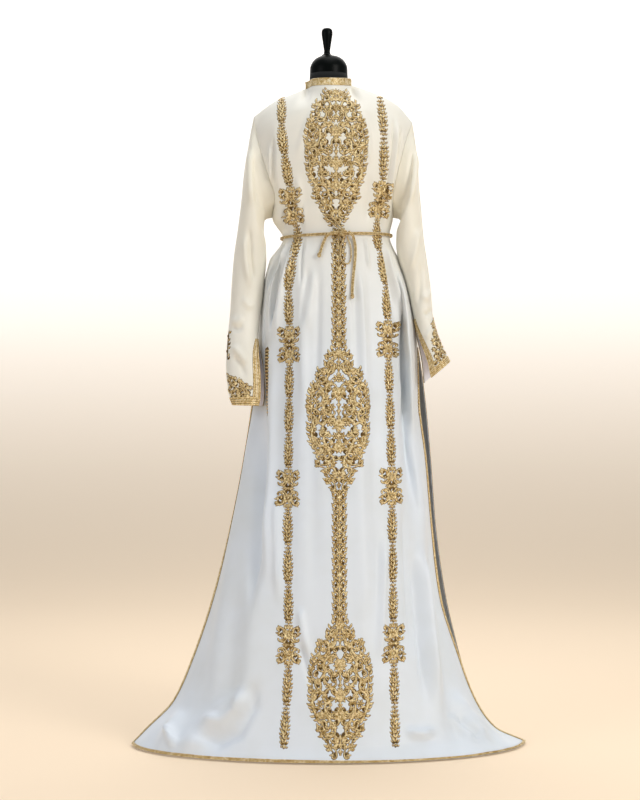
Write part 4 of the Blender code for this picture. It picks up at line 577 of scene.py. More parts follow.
def satin(name, high, low, shade):
    """Woven polyester satin: long floats give a soft wide gloss and faint streaks down the cloth. The
    warp is 0.12 mm apart, too fine to show, so its streaks are drawn about 1.5 mm wide. The colour
    runs from the low tone up to the high one with height. This is painted light, cooler on the lower
    cloth, and a random mottle mixes in the shade colour."""
    material, tree, shader = new_material(name, Roughness=0.46, Specular_IOR_Level=0.42, Sheen_Weight=0.18,
                                          Sheen_Roughness=0.45, Coat_Weight=0.05, Coat_Roughness=0.4)
    place = add(tree, "ShaderNodeTexCoord")
    height = add(tree, "ShaderNodeSeparateXYZ", links={"Vector": place.outputs["Object"]}).outputs["Z"]
    share = add(tree, "ShaderNodeMapRange", values={"From Min": 0.0, "From Max": 1.5},
                links={"Value": height})
    # Painted light: the cool low tone on the lower cloth, the warmer high tone above it
    tone = ramp(tree, share.outputs["Result"], ((0.0, low), (0.55, low), (0.85, high), (1.0, high)))
    cloud = add(tree, "ShaderNodeTexNoise",
                values={"Scale": per_mm(142.86), "Detail": 3.0, "Roughness": 0.55},
                links={"Vector": place.outputs["Object"]})
    mottle = add(tree, "ShaderNodeMapRange", values={"From Min": 0.42, "From Max": 0.78, "To Max": 0.45},
                 links={"Value": cloud.outputs["Fac"]})
    mixed = add(tree, "ShaderNodeMix", {"data_type": "RGBA"}, {7: linear(shade)},
                {0: mottle.outputs["Result"], 6: tone})
    tree.links.new(mixed.outputs[2], shader.inputs["Base Color"])
    stretched = add(tree, "ShaderNodeMapping",
                    values={"Scale": (per_mm(1.5385), per_mm(71.43), 1.0)},
                    links={"Vector": place.outputs["UV"]})
    streaks = add(tree, "ShaderNodeTexNoise", values={"Scale": 1.0, "Detail": 2.0},
                  links={"Vector": stretched.outputs["Vector"]})
    weave = add(tree, "ShaderNodeMapping", values={"Scale": (per_mm(0.909),) * 2 + (1.0,)},
                links={"Vector": place.outputs["UV"]})
    threads = add(tree, "ShaderNodeTexWave", {"bands_direction": "DIAGONAL"},
                  {"Scale": 0.6, "Distortion": 0.4}, {"Vector": weave.outputs["Vector"]})
    both = add(tree, "ShaderNodeMath", {"operation": "MULTIPLY_ADD"}, {1: 0.25},
               {0: threads.outputs["Fac"], 2: streaks.outputs["Fac"]})
    bump = add(tree, "ShaderNodeBump", values={"Strength": 0.10, "Distance": 0.0005},
               links={"Height": both.outputs["Value"]})
    tree.links.new(bump.outputs["Normal"], shader.inputs["Normal"])
    rough = add(tree, "ShaderNodeMapRange", values={"To Min": 0.40, "To Max": 0.54},
                links={"Value": streaks.outputs["Fac"]})
    tree.links.new(rough.outputs["Result"], shader.inputs["Roughness"])
    return material


def gold_thread(name, stops, twist_mm, roughness, metallic):
    """Gilt metal thread, couched or plaited: painted highlights on each turn and painted shade between.
    The twist runs slantwise over the piece's own map, and blotches some 5 mm wide push the colour
    towards painted glints and painted shade."""
    material, tree, shader = new_material(name, Roughness=roughness, Metallic=metallic)
    place = add(tree, "ShaderNodeTexCoord")
    cloud = add(tree, "ShaderNodeTexNoise",
                values={"Scale": per_mm(5.263), "Detail": 3.0, "Roughness": 0.6},
                links={"Vector": place.outputs["Object"]})
    turns = add(tree, "ShaderNodeMapping", values={"Scale": (per_mm(twist_mm),) * 2 + (1.0,),
                                                   "Rotation": (0.0, 0.0, math.radians(32))},
                links={"Vector": place.outputs["UV"]})
    twist = add(tree, "ShaderNodeTexWave", values={"Scale": 0.314, "Distortion": 1.2, "Detail": 1.0},
                links={"Vector": turns.outputs["Vector"]})
    blend = add(tree, "ShaderNodeMath", {"operation": "MULTIPLY_ADD"}, {1: 0.35},
                {0: twist.outputs["Fac"], 2: cloud.outputs["Fac"]})
    share = add(tree, "ShaderNodeMapRange", values={"From Min": 0.47, "From Max": 0.88},
                links={"Value": blend.outputs["Value"]})
    # The ramp's palest stops paint highlights and its darkest stops paint shade
    tree.links.new(ramp(tree, share.outputs["Result"], stops), shader.inputs["Base Color"])
    bump = add(tree, "ShaderNodeBump", values={"Strength": 0.55, "Distance": 0.0004},
               links={"Height": twist.outputs["Fac"]})
    tree.links.new(bump.outputs["Normal"], shader.inputs["Normal"])
    return material


def jersey(name):
    """Knitted black cotton jersey stretched over the form: matt, with a fine rib 1 mm wide. The wave
    pattern repeats about 3.2 times in each of its units, so a unit of 6.25 mm gives that rib."""
    material, tree, shader = new_material(name, Roughness=0.90, Sheen_Weight=0.03)
    shader.inputs["Base Color"].default_value = linear("#0B0F0F")
    place = add(tree, "ShaderNodeTexCoord")
    knit = add(tree, "ShaderNodeTexWave", values={"Scale": per_mm(6.25), "Distortion": 0.6},
               links={"Vector": place.outputs["Object"]})
    bump = add(tree, "ShaderNodeBump", values={"Strength": 0.25, "Distance": 0.0004},
               links={"Height": knit.outputs["Fac"]})
    tree.links.new(bump.outputs["Normal"], shader.inputs["Normal"])
    return material


def lacquer(name):
    """Turned beech under black lacquer: a smooth gloss with a faint unevenness from the brush."""
    material, tree, shader = new_material(name, Roughness=0.45, Specular_IOR_Level=0.06, Coat_Weight=0.01,
                                          Coat_Roughness=0.25)
    shader.inputs["Base Color"].default_value = linear("#050807")
    place = add(tree, "ShaderNodeTexCoord")
    cloud = add(tree, "ShaderNodeTexNoise", values={"Scale": per_mm(16.67), "Detail": 2.0},
                links={"Vector": place.outputs["Object"]})
    rough = add(tree, "ShaderNodeMapRange", values={"To Min": 0.28, "To Max": 0.46},
                links={"Value": cloud.outputs["Fac"]})
    tree.links.new(rough.outputs["Result"], shader.inputs["Roughness"])
    return material


# Upper tone, lower tone and mottle of each satin; the cooler lower tone is painted light
SATIN = satin("ivory_polyester_satin", "#EDE9DD", "#E2E9F1", "#D2D6D4")
SLEEVE_SATIN = satin("cream_polyester_satin", "#F2EDDD", "#EDEAE0", "#DCD8CA")
# The lining is set paler than its own lavender: painted light in the shade inside the slit
LINING = satin("lavender_lining_painted_light", "#F6F4FA", "#F4F2F8", "#E6E3EE")
# Thread colours from dark to pale: the darkest stops paint shade, the palest paint highlights
GOLD = gold_thread("couched_gold_thread", ((0.0, "#66481A"), (0.28, "#BC9044"), (0.58, "#EAC97F"),
                                           (0.90, "#FFF6D0")), 1.6, 0.30, 0.55)
# Darker gilt for pads and outlines: painted shade between and round the bright strokes
DARK_GOLD = gold_thread("gold_thread_painted_shade", ((0.0, "#2C2009"), (0.40, "#523B14"), (0.75, "#7B5C24"),
                                             (1.0, "#A17D3B")), 1.6, 0.60, 0.35)
BRAID = gold_thread("plaited_gold_braid", ((0.0, "#A37E3C"), (0.35, "#D2AE66"), (0.7, "#EFD89E"),
                                           (1.0, "#FFF6DA")), 1.8, 0.42, 0.45)
# Darker gilt in the grooves between a braid's ribs: painted shade
BRAID_EDGE = gold_thread("braid_groove_painted_shade", ((0.0, "#5A431B"), (0.5, "#8B6A31"), (1.0, "#B4914F")),
                         1.8, 0.5, 0.4)
CORD = gold_thread("twisted_gold_cord", ((0.0, "#8F7240"), (0.35, "#B8995F"), (0.7, "#D6BD88"),
                                         (1.0, "#EFE0B8")), 1.8, 0.48, 0.45)
JERSEY = jersey("black_cotton_jersey")
LACQUER = lacquer("black_lacquered_beech")


def cells(rows, columns, wrap=False, flip=False):
    """Corner numbers of a grid's cells, facing down the rows times across the columns."""
    ids = np.arange(rows * columns).reshape(rows, columns)
    if wrap:
        ids = np.concatenate((ids, ids[:, :1]), axis=1)
    quads = np.stack((ids[:-1, :-1], ids[1:, :-1], ids[1:, 1:], ids[:-1, 1:]), axis=-1).reshape(-1, 4)
    return quads[:, ::-1] if flip else quads


def piece(name, points, faces, material, nodes=(), uv=None, thickness=0.0, sharp=None):
    """A mesh object at the origin, riding on the root. Faces are arrays of corner numbers; uv gives
    each point's place on the piece in metres; thickness adds a wall on the inner side."""
    mesh = bpy.data.meshes.new(name)
    parts = [faces] if isinstance(faces, np.ndarray) else faces
    lists = [face for part in parts for face in part.tolist()]
    mesh.from_pydata(np.reshape(points, (-1, 3)).tolist(), [], lists)
    if uv is not None:
        layer = mesh.uv_layers.new(name="cloth")
        corners = np.empty(len(mesh.loops), dtype=np.int32)
        mesh.loops.foreach_get("vertex_index", corners)
        layer.data.foreach_set("uv", np.reshape(uv, (-1, 2))[corners].astype(np.float32).ravel())
    mesh.materials.append(material)
    mesh.shade_smooth()
    if sharp:
        mesh.set_sharp_from_angle(angle=math.radians(sharp))
    item = bpy.data.objects.new(name, mesh)
    bpy.context.scene.collection.objects.link(item)
    if thickness:
        wall = item.modifiers.new("wall", "SOLIDIFY")
        wall.thickness = thickness
        wall.offset = -1.0
    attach(item, "root")
    if nodes:
        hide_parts(*nodes)
    return item


def lengths_uv(points):
    """A grid's own map in metres: the distance across each row and down each column."""
    across = np.cumsum(np.linalg.norm(np.diff(points, axis=1, prepend=points[:, :1]), axis=-1), axis=1)
    down = np.cumsum(np.linalg.norm(np.diff(points, axis=0, prepend=points[:1]), axis=-1), axis=0)
    across = across - across[:, across.shape[1] // 2][:, None]
    return np.stack((across, down), axis=-1)


def round_tubes(paths, ups, radii, sides):
    """Tubes along many paths of one length: a ring of radius r about each point, on the side vector
    and the up vector. Returns points (paths, stations, sides, 3), their map, and faces with caps."""
    count, stations = paths.shape[:2]
    tangent = unit(np.gradient(paths, axis=1))
    side = unit(np.cross(tangent, ups))
    up = np.cross(side, tangent)
    turn = np.linspace(0, 2 * np.pi, sides, endpoint=False)
    radii = np.broadcast_to(radii, (count, stations))[..., None, None]
    ring = np.cos(turn)[:, None] * side[:, :, None] + np.sin(turn)[:, None] * up[:, :, None]
    points = paths[:, :, None] + radii * ring
    run = np.cumsum(np.linalg.norm(np.diff(paths, axis=1, prepend=paths[:, :1]), axis=-1), axis=1)
    around = np.broadcast_to(turn * 0.0016 / math.pi, points.shape[:-1])
    uv = np.stack((around, np.broadcast_to(run[:, :, None], points.shape[:-1])), axis=-1)
    offsets = (np.arange(count) * stations * sides)[:, None, None]
    body = (cells(stations, sides, wrap=True)[None] + offsets).reshape(-1, 4)
    first = np.arange(sides)[None] + offsets[:, 0]
    last = np.arange(sides)[::-1][None] + offsets[:, 0] + (stations - 1) * sides
    return points, uv, [body, first, last]


def join_tubes(batches):
    """Several batches of tubes or patches as one list of points, map and faces."""
    points, uvs, faces, offset = [], [], [], 0
    for batch_points, batch_uv, batch_faces in batches:
        points.append(batch_points.reshape(-1, 3))
        uvs.append(batch_uv.reshape(-1, 2))
        faces += [part + offset for part in batch_faces]
        offset += points[-1].shape[0]
    return np.concatenate(points), np.concatenate(uvs), faces


def even_route(points, spacing):
    """Points at even spacing on a smooth curve through a route's own points."""
    points = np.asarray(points, float)
    keys = np.concatenate(((0.0,), np.cumsum(np.linalg.norm(np.diff(points, axis=0), axis=1))))
    where = np.linspace(0, keys[-1], max(6, int(keys[-1] / spacing) + 1))
    return np.stack([smooth(keys, points[:, axis], where) for axis in range(points.shape[1])], axis=-1)


def place_on_back(x, z):
    """Across and down of the back panel's points seen at x and z, found by stepping along its slopes."""
    last = section_keys(False)[-1]
    across = np.clip((x - 0.01) / 0.2, -0.9, 0.9)
    down = np.clip((1.54 - z) * 1.02, 0.02, last - 0.02)
    for _ in range(16):
        here = bare_panel(across, down, False)
        slope_x = (bare_panel(across + 0.01, down, False)[..., 0] - here[..., 0]) / 0.01
        slope_z = (bare_panel(across, down + 0.01, False)[..., 2] - here[..., 2]) / 0.01
        across = np.clip(across + 0.8 * (x - here[..., 0]) / slope_x, -0.95, 0.95)
        down = np.clip(down + 0.8 * (z - here[..., 2]) / slope_z, 0.005, last - 0.005)
    return across, down


def build_camera():
    """The camera looks level at the wearer's back."""
    data = bpy.data.cameras.new("camera")
    data.lens = CAMERA_LENS
    data.sensor_width = CAMERA_FRAME
    camera = bpy.data.objects.new("camera", data)
    camera.location = CAMERA_PLACE
    camera.rotation_euler = (math.radians(90), 0.0, 0.0)
    bpy.context.scene.collection.objects.link(camera)
    bpy.context.scene.camera = camera


def cord_route(route, radius, spacing):
    """A bow cord's points and normals: its route seen from behind, laid on the back panel, and lifted
    over the belt by a flat-topped bell curve of the height above or below the belt."""
    flat = even_route(route, spacing)
    across, down = place_on_back(flat[:, 0], flat[:, 1])
    rise = (flat[:, 1] - WAIST_Z - BELT_TILT * flat[:, 0]) / 0.0125
    lift = CORD_SEAT + radius + (BELT_CORD + 0.0012) * np.exp(-rise ** 4)
    return panel(across, down, False, lift)


def strands(path, normals, offsets, radius, sides=10):
    """Strands of a cord that run side by side along its path, each at its offset to one side."""
    tangent = unit(np.gradient(path, axis=0))
    side = unit(np.cross(tangent, normals))
    routes = np.stack([path + side * offset for offset in offsets])
    return round_tubes(routes, np.broadcast_to(normals, routes.shape), radius, sides)


def build_cords():
    """The bow's two free ends and two loops, each a cord, and the wrapped knots on them."""
    knots = {}
    for name, flat in (("end_knot_left", (-0.02465, 1.13455)), ("end_knot_right", (0.04944, 1.0378))):
        across, down = place_on_back(np.array([flat[0]]), np.array([flat[1]]))
        centre, normal = panel(across, down, False, CORD_SEAT + 0.0048)
        knots[name] = wrapped_knot(name, centre[0], normal[0], (0.0046, 0.0044, 0.0060), 5, name)
    across, down = place_on_back(np.array([KNOT_CENTRE[0]]), np.array([KNOT_CENTRE[1]]))
    centre, normal = panel(across, down, False, CORD_SEAT + BELT_CORD + 0.0062)
    bow = wrapped_knot("belt_knot_wound", centre[0], normal[0], (0.0100, 0.0060, 0.0084), 5, "belt_knot")
    for name, route, far_end, with_pieces in (
            ("tail_left", TAIL_LEFT, "knot", [knots["end_knot_left"]]),
            ("tail_right", TAIL_RIGHT, "knot", [knots["end_knot_right"]])):
        path, normals = cord_route(route, BELT_CORD / 2, 0.0025)
        points, uv, faces = strands(path, normals, (-STRAND / 2, STRAND / 2), STRAND / 2)
        item = piece(name + "_cord", points, faces, CORD, [name], uv)
    for name, route in (("loop_lower", LOOP_LOWER), ("loop_upper", LOOP_UPPER)):
        path, normals = cord_route(route, STRAND / 2, 0.002)
        points, uv, faces = strands(path, normals, (0.0,), STRAND / 2, 12)
        item = piece(name + "_cord", points, faces, CORD, [name], uv)
    return bow


def wrapped_knot(name, centre, normal, radii, turns, node):
    """A knot wound of cord: a helix over an egg-shaped core. The helix goes from pole to pole while
    it turns, at the core's own radius there."""
    t = np.linspace(0.04, 0.96, 40 * turns)
    tall = np.cos(np.pi * t)
    wide = np.sin(np.pi * t)
    angle = 2 * np.pi * turns * t
    right = unit(np.cross(normal, np.array((0.0, 0.0, 1.0))))
    up = np.cross(right, normal)
    core = np.array(radii) - 0.0009
    out = wide[:, None] * (np.cos(angle)[:, None] * right * core[0]
                           + np.sin(angle)[:, None] * normal * core[1])
    path = centre + out + tall[:, None] * up * core[2]
    tube = round_tubes(path[None], unit(out)[None], 0.0013, 8)
    rows, columns = 13, 20
    polar = np.linspace(0.02, np.pi - 0.02, rows)[:, None]
    around = np.linspace(0, 2 * np.pi, columns, endpoint=False)[None]
    egg = (centre + (np.sin(polar) * np.cos(around))[..., None] * right * core[0]
           - (np.sin(polar) * np.sin(around))[..., None] * normal * core[1]
           + np.cos(polar)[..., None] * up * core[2])
    caps = [np.arange(columns)[None], (np.arange(columns)[::-1] + (rows - 1) * columns)[None]]
    inside = (egg, np.zeros((rows, columns, 2)), [cells(rows, columns, wrap=True)] + caps)
    points, uv, faces = join_tubes([tube, inside])
    return piece(name + "_cord" if name == node else name, points, faces, CORD, [node], uv)


def build_belt():
    """The belt, two strands side by side round the waist, on the waist's own arcs."""
    out = BELT_LIFT + BELT_CORD / 2
    back = dict(zip(SECTION_COLUMNS, BACK_SECTIONS[UNDERARM_SECTION + 1]))
    front = dict(zip(SECTION_COLUMNS, FRONT_SECTIONS[UNDERARM_SECTION + 1]))
    middle = (back["left_x"] + back["right_x"]) / 2
    half = (back["right_x"] - back["left_x"]) / 2 + out
    turn = np.linspace(0, 2 * np.pi, 241)
    depth = np.where(np.sin(turn) < 0, -back["y"], front["y"]) + out
    x = middle + half * np.cos(turn)
    path = np.stack((x, depth * np.sin(turn), WAIST_Z + BELT_TILT * (x - middle)), axis=-1)
    outward = unit(np.stack((np.cos(turn) / half, np.sin(turn) / depth, 0 * turn), axis=-1))
    points, uv, faces = strands(path, outward, (-STRAND / 2, STRAND / 2), STRAND / 2, 8)
    return piece("belt_ring_cord", points, faces[:1], CORD, ["belt_ring"], uv)


def front_places(side, downs):
    """Columns of a front panel, from its side to its opening, for each distance down. The opening
    widens below the belt as the 1.5th power of the way down."""
    keys = section_keys(True)
    lower = np.clip((downs - keys[UNDERARM_SECTION + 3]) / (downs[-1] - keys[UNDERARM_SECTION + 3]), 0, 1)
    opening = 0.0004 + HEM_OPENING * lower ** 1.5
    table = np.array(FRONT_SECTIONS)
    half = smooth(keys, np.concatenate(((0.19, 0.19), (table[:, 5] - table[:, 2]) / 2)), downs)
    limit = np.radians(smooth(keys, np.concatenate(((80.0, 80.0), table[:, 8])), downs))
    inner = np.arcsin(np.clip(opening / half * np.sin(limit), 0, 1)) / limit
    neck_point = 0.31 if side > 0 else 0.33
    outside = np.linspace(1.0, neck_point, 41)
    inside = neck_point + (inner[:, None] - neck_point) * np.linspace(0.0, 1.0, 25)[None]
    places = np.concatenate((np.broadcast_to(outside[:-1], (len(downs), 40)), inside), axis=1)
    return -places if side < 0 else places[:, ::-1]


def panel_rows(front, count):
    """Distances down a panel: rows closer at the top and the hem, and one on every section."""
    keys = section_keys(front)
    return np.unique(np.concatenate((np.linspace(0, keys[-1], count), keys)).round(6))


def build_panels():
    """The back panel and the two fronts."""
    grids = {}
    across = np.concatenate((np.linspace(-1.0, -0.33, 56)[:-1], np.linspace(-0.33, 0.31, 60)[:-1],
                             np.linspace(0.31, 1.0, 56)))
    downs = panel_rows(False, 210)
    columns, rows = np.meshgrid(across, downs)
    points, normals = panel(columns, rows, False)
    grids["back"] = (columns, rows)
    grids["back_points"] = (points, normals)
    back = piece("back_panel_cloth", points, cells(*columns.shape), SATIN, ["back_panel"],
                 lengths_uv(points), CLOTH)
    for side, name in ((-1, "left"), (1, "right")):
        downs = panel_rows(True, 150)
        places = front_places(side, downs)
        rows = np.broadcast_to(downs[:, None], places.shape)
        points, normals = panel(places, rows, True)
        grids[name] = (places, rows)
        front = piece("front_panel_%s_cloth" % name, points, cells(*places.shape, flip=True), SATIN,
                      ["front_panel_" + name], lengths_uv(points), CLOTH)
    return grids


def armhole(side, shares):
    """Points and outward normals round an armhole: shares from -1 at the underarm up the back to 0
    at the shoulder and down the front to 1, evenly by length."""
    parts = []
    for front in (False, True):
        downs = np.linspace(0, section_keys(front)[UNDERARM_SECTION + 2], 80)
        edge, normal = panel(np.full(downs.shape, float(side)), downs, front)
        run = np.concatenate(((0.0,), np.cumsum(np.linalg.norm(np.diff(edge, axis=0), axis=1))))
        parts.append((edge, normal, run / run[-1]))
    points = np.empty(shares.shape + (3,))
    normals = np.empty(shares.shape + (3,))
    for axis in range(3):
        for (edge, normal, run), chosen in zip(parts, (shares < 0, shares >= 0)):
            points[chosen, axis] = np.interp(np.abs(shares[chosen]), run, edge[:, axis])
            normals[chosen, axis] = np.interp(np.abs(shares[chosen]), run, normal[:, axis])
    return points, unit(normals)


def bare_sleeve(side, shares, down):
    """A sleeve's points without creases: the armhole and the rings below it, which are tilted ellipses
    open at the slit, joined smoothly down the sleeve."""
    rows = [armhole(side, shares)[0]]
    for ring in RINGS[side]:
        row = dict(zip(RING_COLUMNS, ring))
        angle = np.radians(np.where(shares < 0, shares * (180 - row["slit"]), shares * 180))
        outer = np.array((row["outer_x"], row["y"], row["outer_z"]))
        inner = np.array((row["inner_x"], row["y"], row["inner_z"]))
        rows.append((outer + inner) / 2 + np.cos(angle)[..., None] * (outer - inner) / 2
                    + np.sin(angle)[..., None] * np.array((0.0, row["half_y"], 0.0)))
    return smooth(np.arange(len(rows)), np.array(rows), down)


def sleeve(side, shares, down, lift=0.0):
    """A sleeve's points: shares from -1 round the outer side to 1, and down from 0 at the armhole to
    the number of rings at the cuff; lift moves a point out along the sleeve's own normal."""
    here = bare_sleeve(side, shares, down)
    last = len(RINGS[side])
    change_across = bare_sleeve(side, np.clip(shares + 0.01, -1, 1), down)
    change_across = change_across - bare_sleeve(side, np.clip(shares - 0.01, -1, 1), down)
    change_down = bare_sleeve(side, shares, np.clip(down + 0.04, 0, last))
    change_down = change_down - bare_sleeve(side, shares, np.clip(down - 0.04, 0, last))
    normal = unit(np.cross(change_down, change_across)) * side
    behind = np.clip(-normal[..., 1] * 2.0 + 0.2, 0, 1)
    ahead = np.clip(normal[..., 1] * 2.0 + 0.2, 0, 1)
    creases = crease_push(here, SLEEVE_CREASES[side])
    fade = np.clip(down / 1.5, 0, 1) * np.clip((last - down) / 0.8, 0, 1)
    push = creases * (behind + 0.7 * ahead) * fade
    return here + normal * (push + lift)[..., None], normal


def build_sleeves():
    """Both sleeves, each a tube of satin that is slit at the cuff; the slit shows the lining, coloured paler
    than it is as painted light in its shade.
    """
    for side, name in ((-1, "left"), (1, "right")):
        last = len(RINGS[side])
        downs = np.linspace(0, last, 150)
        shares = np.linspace(-1, 1, 97)
        columns, rows = np.meshgrid(shares, downs)
        points, _ = sleeve(side, columns, rows)
        closed_rows = downs < CLOSED_RINGS[side]
        points[closed_rows, -1] = points[closed_rows, 0]
        item = piece("sleeve_%s_cloth" % name, points, cells(*columns.shape, flip=side < 0), SLEEVE_SATIN,
                     ["sleeve_" + name], lengths_uv(points), CLOTH)
        item.data.materials.append(LINING)
        item.modifiers["wall"].material_offset = 1


def ridged_strip(lines, thick, ridges, ups=None):
    """A braid between its two edge lines on the cloth: raised ribs run along it as rounded steps, a
    half wave each, over a flat backing. lines is (stations, 2, 3) and ups (stations, 2, 3)."""
    count = lines.shape[0]
    share = ((np.arange(ridges)[:, None] + np.array(RIB_STEPS)) / ridges).ravel()
    share = np.append(share, 1.0)
    height = thick * (0.30 + 0.70 * np.abs(np.sin(np.pi * share * ridges)))
    height[[0, -1]] = 0.0
    across = lines[:, :1] + (lines[:, 1:] - lines[:, :1]) * share[None, :, None]
    up = unit(ups[:, :1] + (ups[:, 1:] - ups[:, :1]) * share[None, :, None])
    points = across + up * height[None, :, None]
    along = np.cumsum(np.linalg.norm(np.diff(lines[:, 0], axis=0, prepend=lines[:1, 0]), axis=-1))
    wide = np.linalg.norm(lines[0, 1] - lines[0, 0])
    uv = np.stack(np.broadcast_arrays(share[None] * wide, along[:, None]), axis=-1)
    faces = cells(count, len(share))
    # Faces in the grooves between ribs take the second material, which paints their shade
    column = np.tile(np.arange(len(share) - 1), count - 1) % len(RIB_STEPS)
    between_ribs = (column == 0) | (column == len(RIB_STEPS) - 1)
    return points, uv, [faces[~between_ribs], faces[between_ribs]]


def braid(name, batches, nodes):
    """A piece of braid from strips: plaited ribs, with a darker colour in the grooves between them as painted
    shade.
    """
    points, uv, faces = join_tubes(batches)
    item = piece(name, points, faces, BRAID, nodes, uv)
    item.data.materials.append(BRAID_EDGE)
    grooves = np.concatenate([np.full(len(part), number % 2) for number, part in enumerate(faces)])
    item.data.polygons.foreach_set("material_index", grooves.astype(np.int32))
    return item


def strip_faces(batch, toward):
    """Turn a strip's faces round if their normals point away from the way it should face."""
    points, uv, faces = batch
    flat = points.reshape(-1, 3)
    first, second, third = (flat[faces[0][:, corner]] for corner in (0, 1, 2))
    normal = np.cross(second - first, third - second)
    if np.sum(normal * toward[None]) < 0:
        faces = [part[:, ::-1] for part in faces]
    return points, uv, faces


def panel_strip(front, edge_places, edge_downs, thick, ridges):
    """A braid on a panel between two lines of places; each line is (across, down)."""
    lines, ups = [], []
    for across, down in zip(edge_places, edge_downs):
        point, normal = panel(across, down, front, SEWN_LIFT)
        lines.append(point)
        ups.append(normal)
    lines = np.stack(lines, axis=1)
    ups = np.stack(ups, axis=1)
    batch = ridged_strip(lines, thick, ridges, ups)
    return strip_faces(batch, ups.reshape(-1, 3).mean(axis=0))


def down_to_width(front, across, amount):
    """Distance down at which a strip of the hem starts, so that it is as wide as its braid."""
    last = section_keys(front)[-1]
    low, _ = panel(across, np.full(across.shape, last), front)
    high, _ = panel(across, np.full(across.shape, last - 0.02), front)
    return last - 0.02 * amount / np.linalg.norm(low - high, axis=-1)


def side_strip_share(front, side, downs, amount):
    """Place across at which a strip of the edge starts, so that it is as wide as its braid."""
    outer, _ = panel(np.full(downs.shape, float(side)), downs, front)
    inner, _ = panel(np.full(downs.shape, side * 0.97), downs, front)
    return side * (1 - 0.03 * amount / np.linalg.norm(outer - inner, axis=-1))


def build_edge_braids(grids):
    """Braid (sfifa) on the slits and the hem of every panel and down both front edges."""
    batches = []
    last = section_keys(False)[-1]
    downs = np.linspace(section_keys(False)[SLIT_SECTION + 2], last, 240)
    for side in (-1, 1):
        inner = side_strip_share(False, side, downs, TRIM_WIDTH)
        edge = np.full(downs.shape, float(side))
        batches.append(panel_strip(False, (edge, inner), (downs, downs), BRAID_THICK, 4))
    across = np.linspace(-1, 1, 300)
    upper = down_to_width(False, across, HEM_WIDTH)
    hem = np.full(across.shape, last)
    batches.append(panel_strip(False, (across, across), (upper, hem), BRAID_THICK, 3))
    braid("back_edge_sfifa", batches, ["back_edge_braid"])
    for side, name in ((-1, "left"), (1, "right")):
        places, rows = grids[name]
        last = section_keys(True)[-1]
        inner_column = -1 if side < 0 else 0
        downs = np.linspace(section_keys(True)[SLIT_SECTION + 2], last, 200)
        inner = side_strip_share(True, side, downs, TRIM_WIDTH)
        slit = np.full(downs.shape, float(side))
        batches = [panel_strip(True, (slit, inner), (downs, downs), BRAID_THICK, 4)]
        downs = np.linspace(0.004, last, 320)
        edge = np.interp(downs, rows[:, 0], places[:, inner_column])
        width = TRIM_WIDTH / np.interp(downs, rows[:, 0], panel_half(rows[:, 0]))
        batches.append(panel_strip(True, (edge, edge + side * width), (downs, downs), BRAID_THICK, 4))
        across = np.linspace(places[-1, 0], places[-1, -1], 150)
        upper = down_to_width(True, across, HEM_WIDTH)
        hem = np.full(across.shape, last)
        batches.append(panel_strip(True, (across, across), (upper, hem), BRAID_THICK, 3))
        braid("front_edge_sfifa_" + name, batches, ["front_edge_braid_" + name])


def panel_half(downs):
    """Width of the front in metres for each whole unit across, near its middle."""
    table = np.array(FRONT_SECTIONS)
    limit = np.radians(table[:, 8])
    rate = (table[:, 5] - table[:, 2]) / 2 * limit / np.sin(limit)
    return smooth(section_keys(True), np.concatenate(((0.19, 0.19), rate)), downs)


def sleeve_strip(side, first, second, thick, ridges):
    """A braid on a sleeve between two lines, each of shares and distances down."""
    lines, ups = [], []
    for shares, downs in (first, second):
        point, normal = sleeve(side, np.asarray(shares, float), np.asarray(downs, float), CUFF_LIFT)
        lines.append(point)
        ups.append(normal)
    lines = np.stack(lines, axis=1)
    ups = np.stack(ups, axis=1)
    batch = ridged_strip(lines, thick, ridges, ups)
    return strip_faces(batch, ups.reshape(-1, 3).mean(axis=0))


def sleeve_width_share(side, shares, downs, amount, way):
    """Share that a width in metres takes at each place of a sleeve's edge."""
    here, _ = sleeve(side, shares, downs)
    there, _ = sleeve(side, shares + way * 0.04, downs)
    return way * 0.04 * amount / np.linalg.norm(here - there, axis=-1)


def build_cuffs():
    """Wide braid round each cuff: up both edges of the slit and along the mouth."""
    for side, name in ((-1, "left"), (1, "right")):
        last = len(RINGS[side])
        batches = []
        downs = np.linspace(CLOSED_RINGS[side], last, 90)
        for start, way in ((-1.0, 1.0), (1.0, -1.0)):
            edge = np.full(downs.shape, start)
            width = sleeve_width_share(side, edge, downs, CUFF_BRAID[side], way)
            batches.append(sleeve_strip(side, (edge, downs), (edge + width, downs), CUFF_THICK, 4))
        shares = np.linspace(-1, 1, 160)
        mouth = np.full(shares.shape, float(last))
        near, _ = sleeve(side, shares, mouth)
        far, _ = sleeve(side, shares, mouth - 0.3)
        rise = np.clip(0.3 * MOUTH_BRAID[side] / np.linalg.norm(near - far, axis=-1), 0.05, 2.5)
        batches.append(sleeve_strip(side, (shares, mouth), (shares, mouth - rise), MOUTH_THICK, 4))
        braid("cuff_sfifa_" + name, batches, ["cuff_braid_" + name])


def place_on_sleeve(side, x, z):
    """Share and down of a sleeve's back half at x and z, found by Newton's method on its two slopes."""
    last = len(RINGS[side])
    keys = [-(ring[1] + ring[3]) / 2 for ring in RINGS[side]]
    down = np.clip(np.interp(-z, keys, np.arange(1, last + 1)), last - 7, last - 0.05)
    share = np.full(x.shape, -0.5)
    for _ in range(22):
        here = bare_sleeve(side, share, down)
        by_share = (bare_sleeve(side, share + 0.01, down) - here) / 0.01
        by_down = (bare_sleeve(side, share, down - 0.02) - here) / -0.02
        off_x, off_z = x - here[..., 0], z - here[..., 2]
        area = by_share[..., 0] * by_down[..., 2] - by_share[..., 2] * by_down[..., 0]
        area = np.where(np.abs(area) < 1e-5, np.where(area < 0, -1e-5, 1e-5), area)
        step = (off_x * by_down[..., 2] - off_z * by_down[..., 0]) / area
        share = np.clip(share + 0.7 * np.clip(step, -0.15, 0.15), -0.99, -0.03)
        step = (off_z * by_share[..., 0] - off_x * by_share[..., 2]) / area
        down = np.clip(down + 0.7 * np.clip(step, -0.6, 0.6), last - 8, last - 0.03)
    return share, down


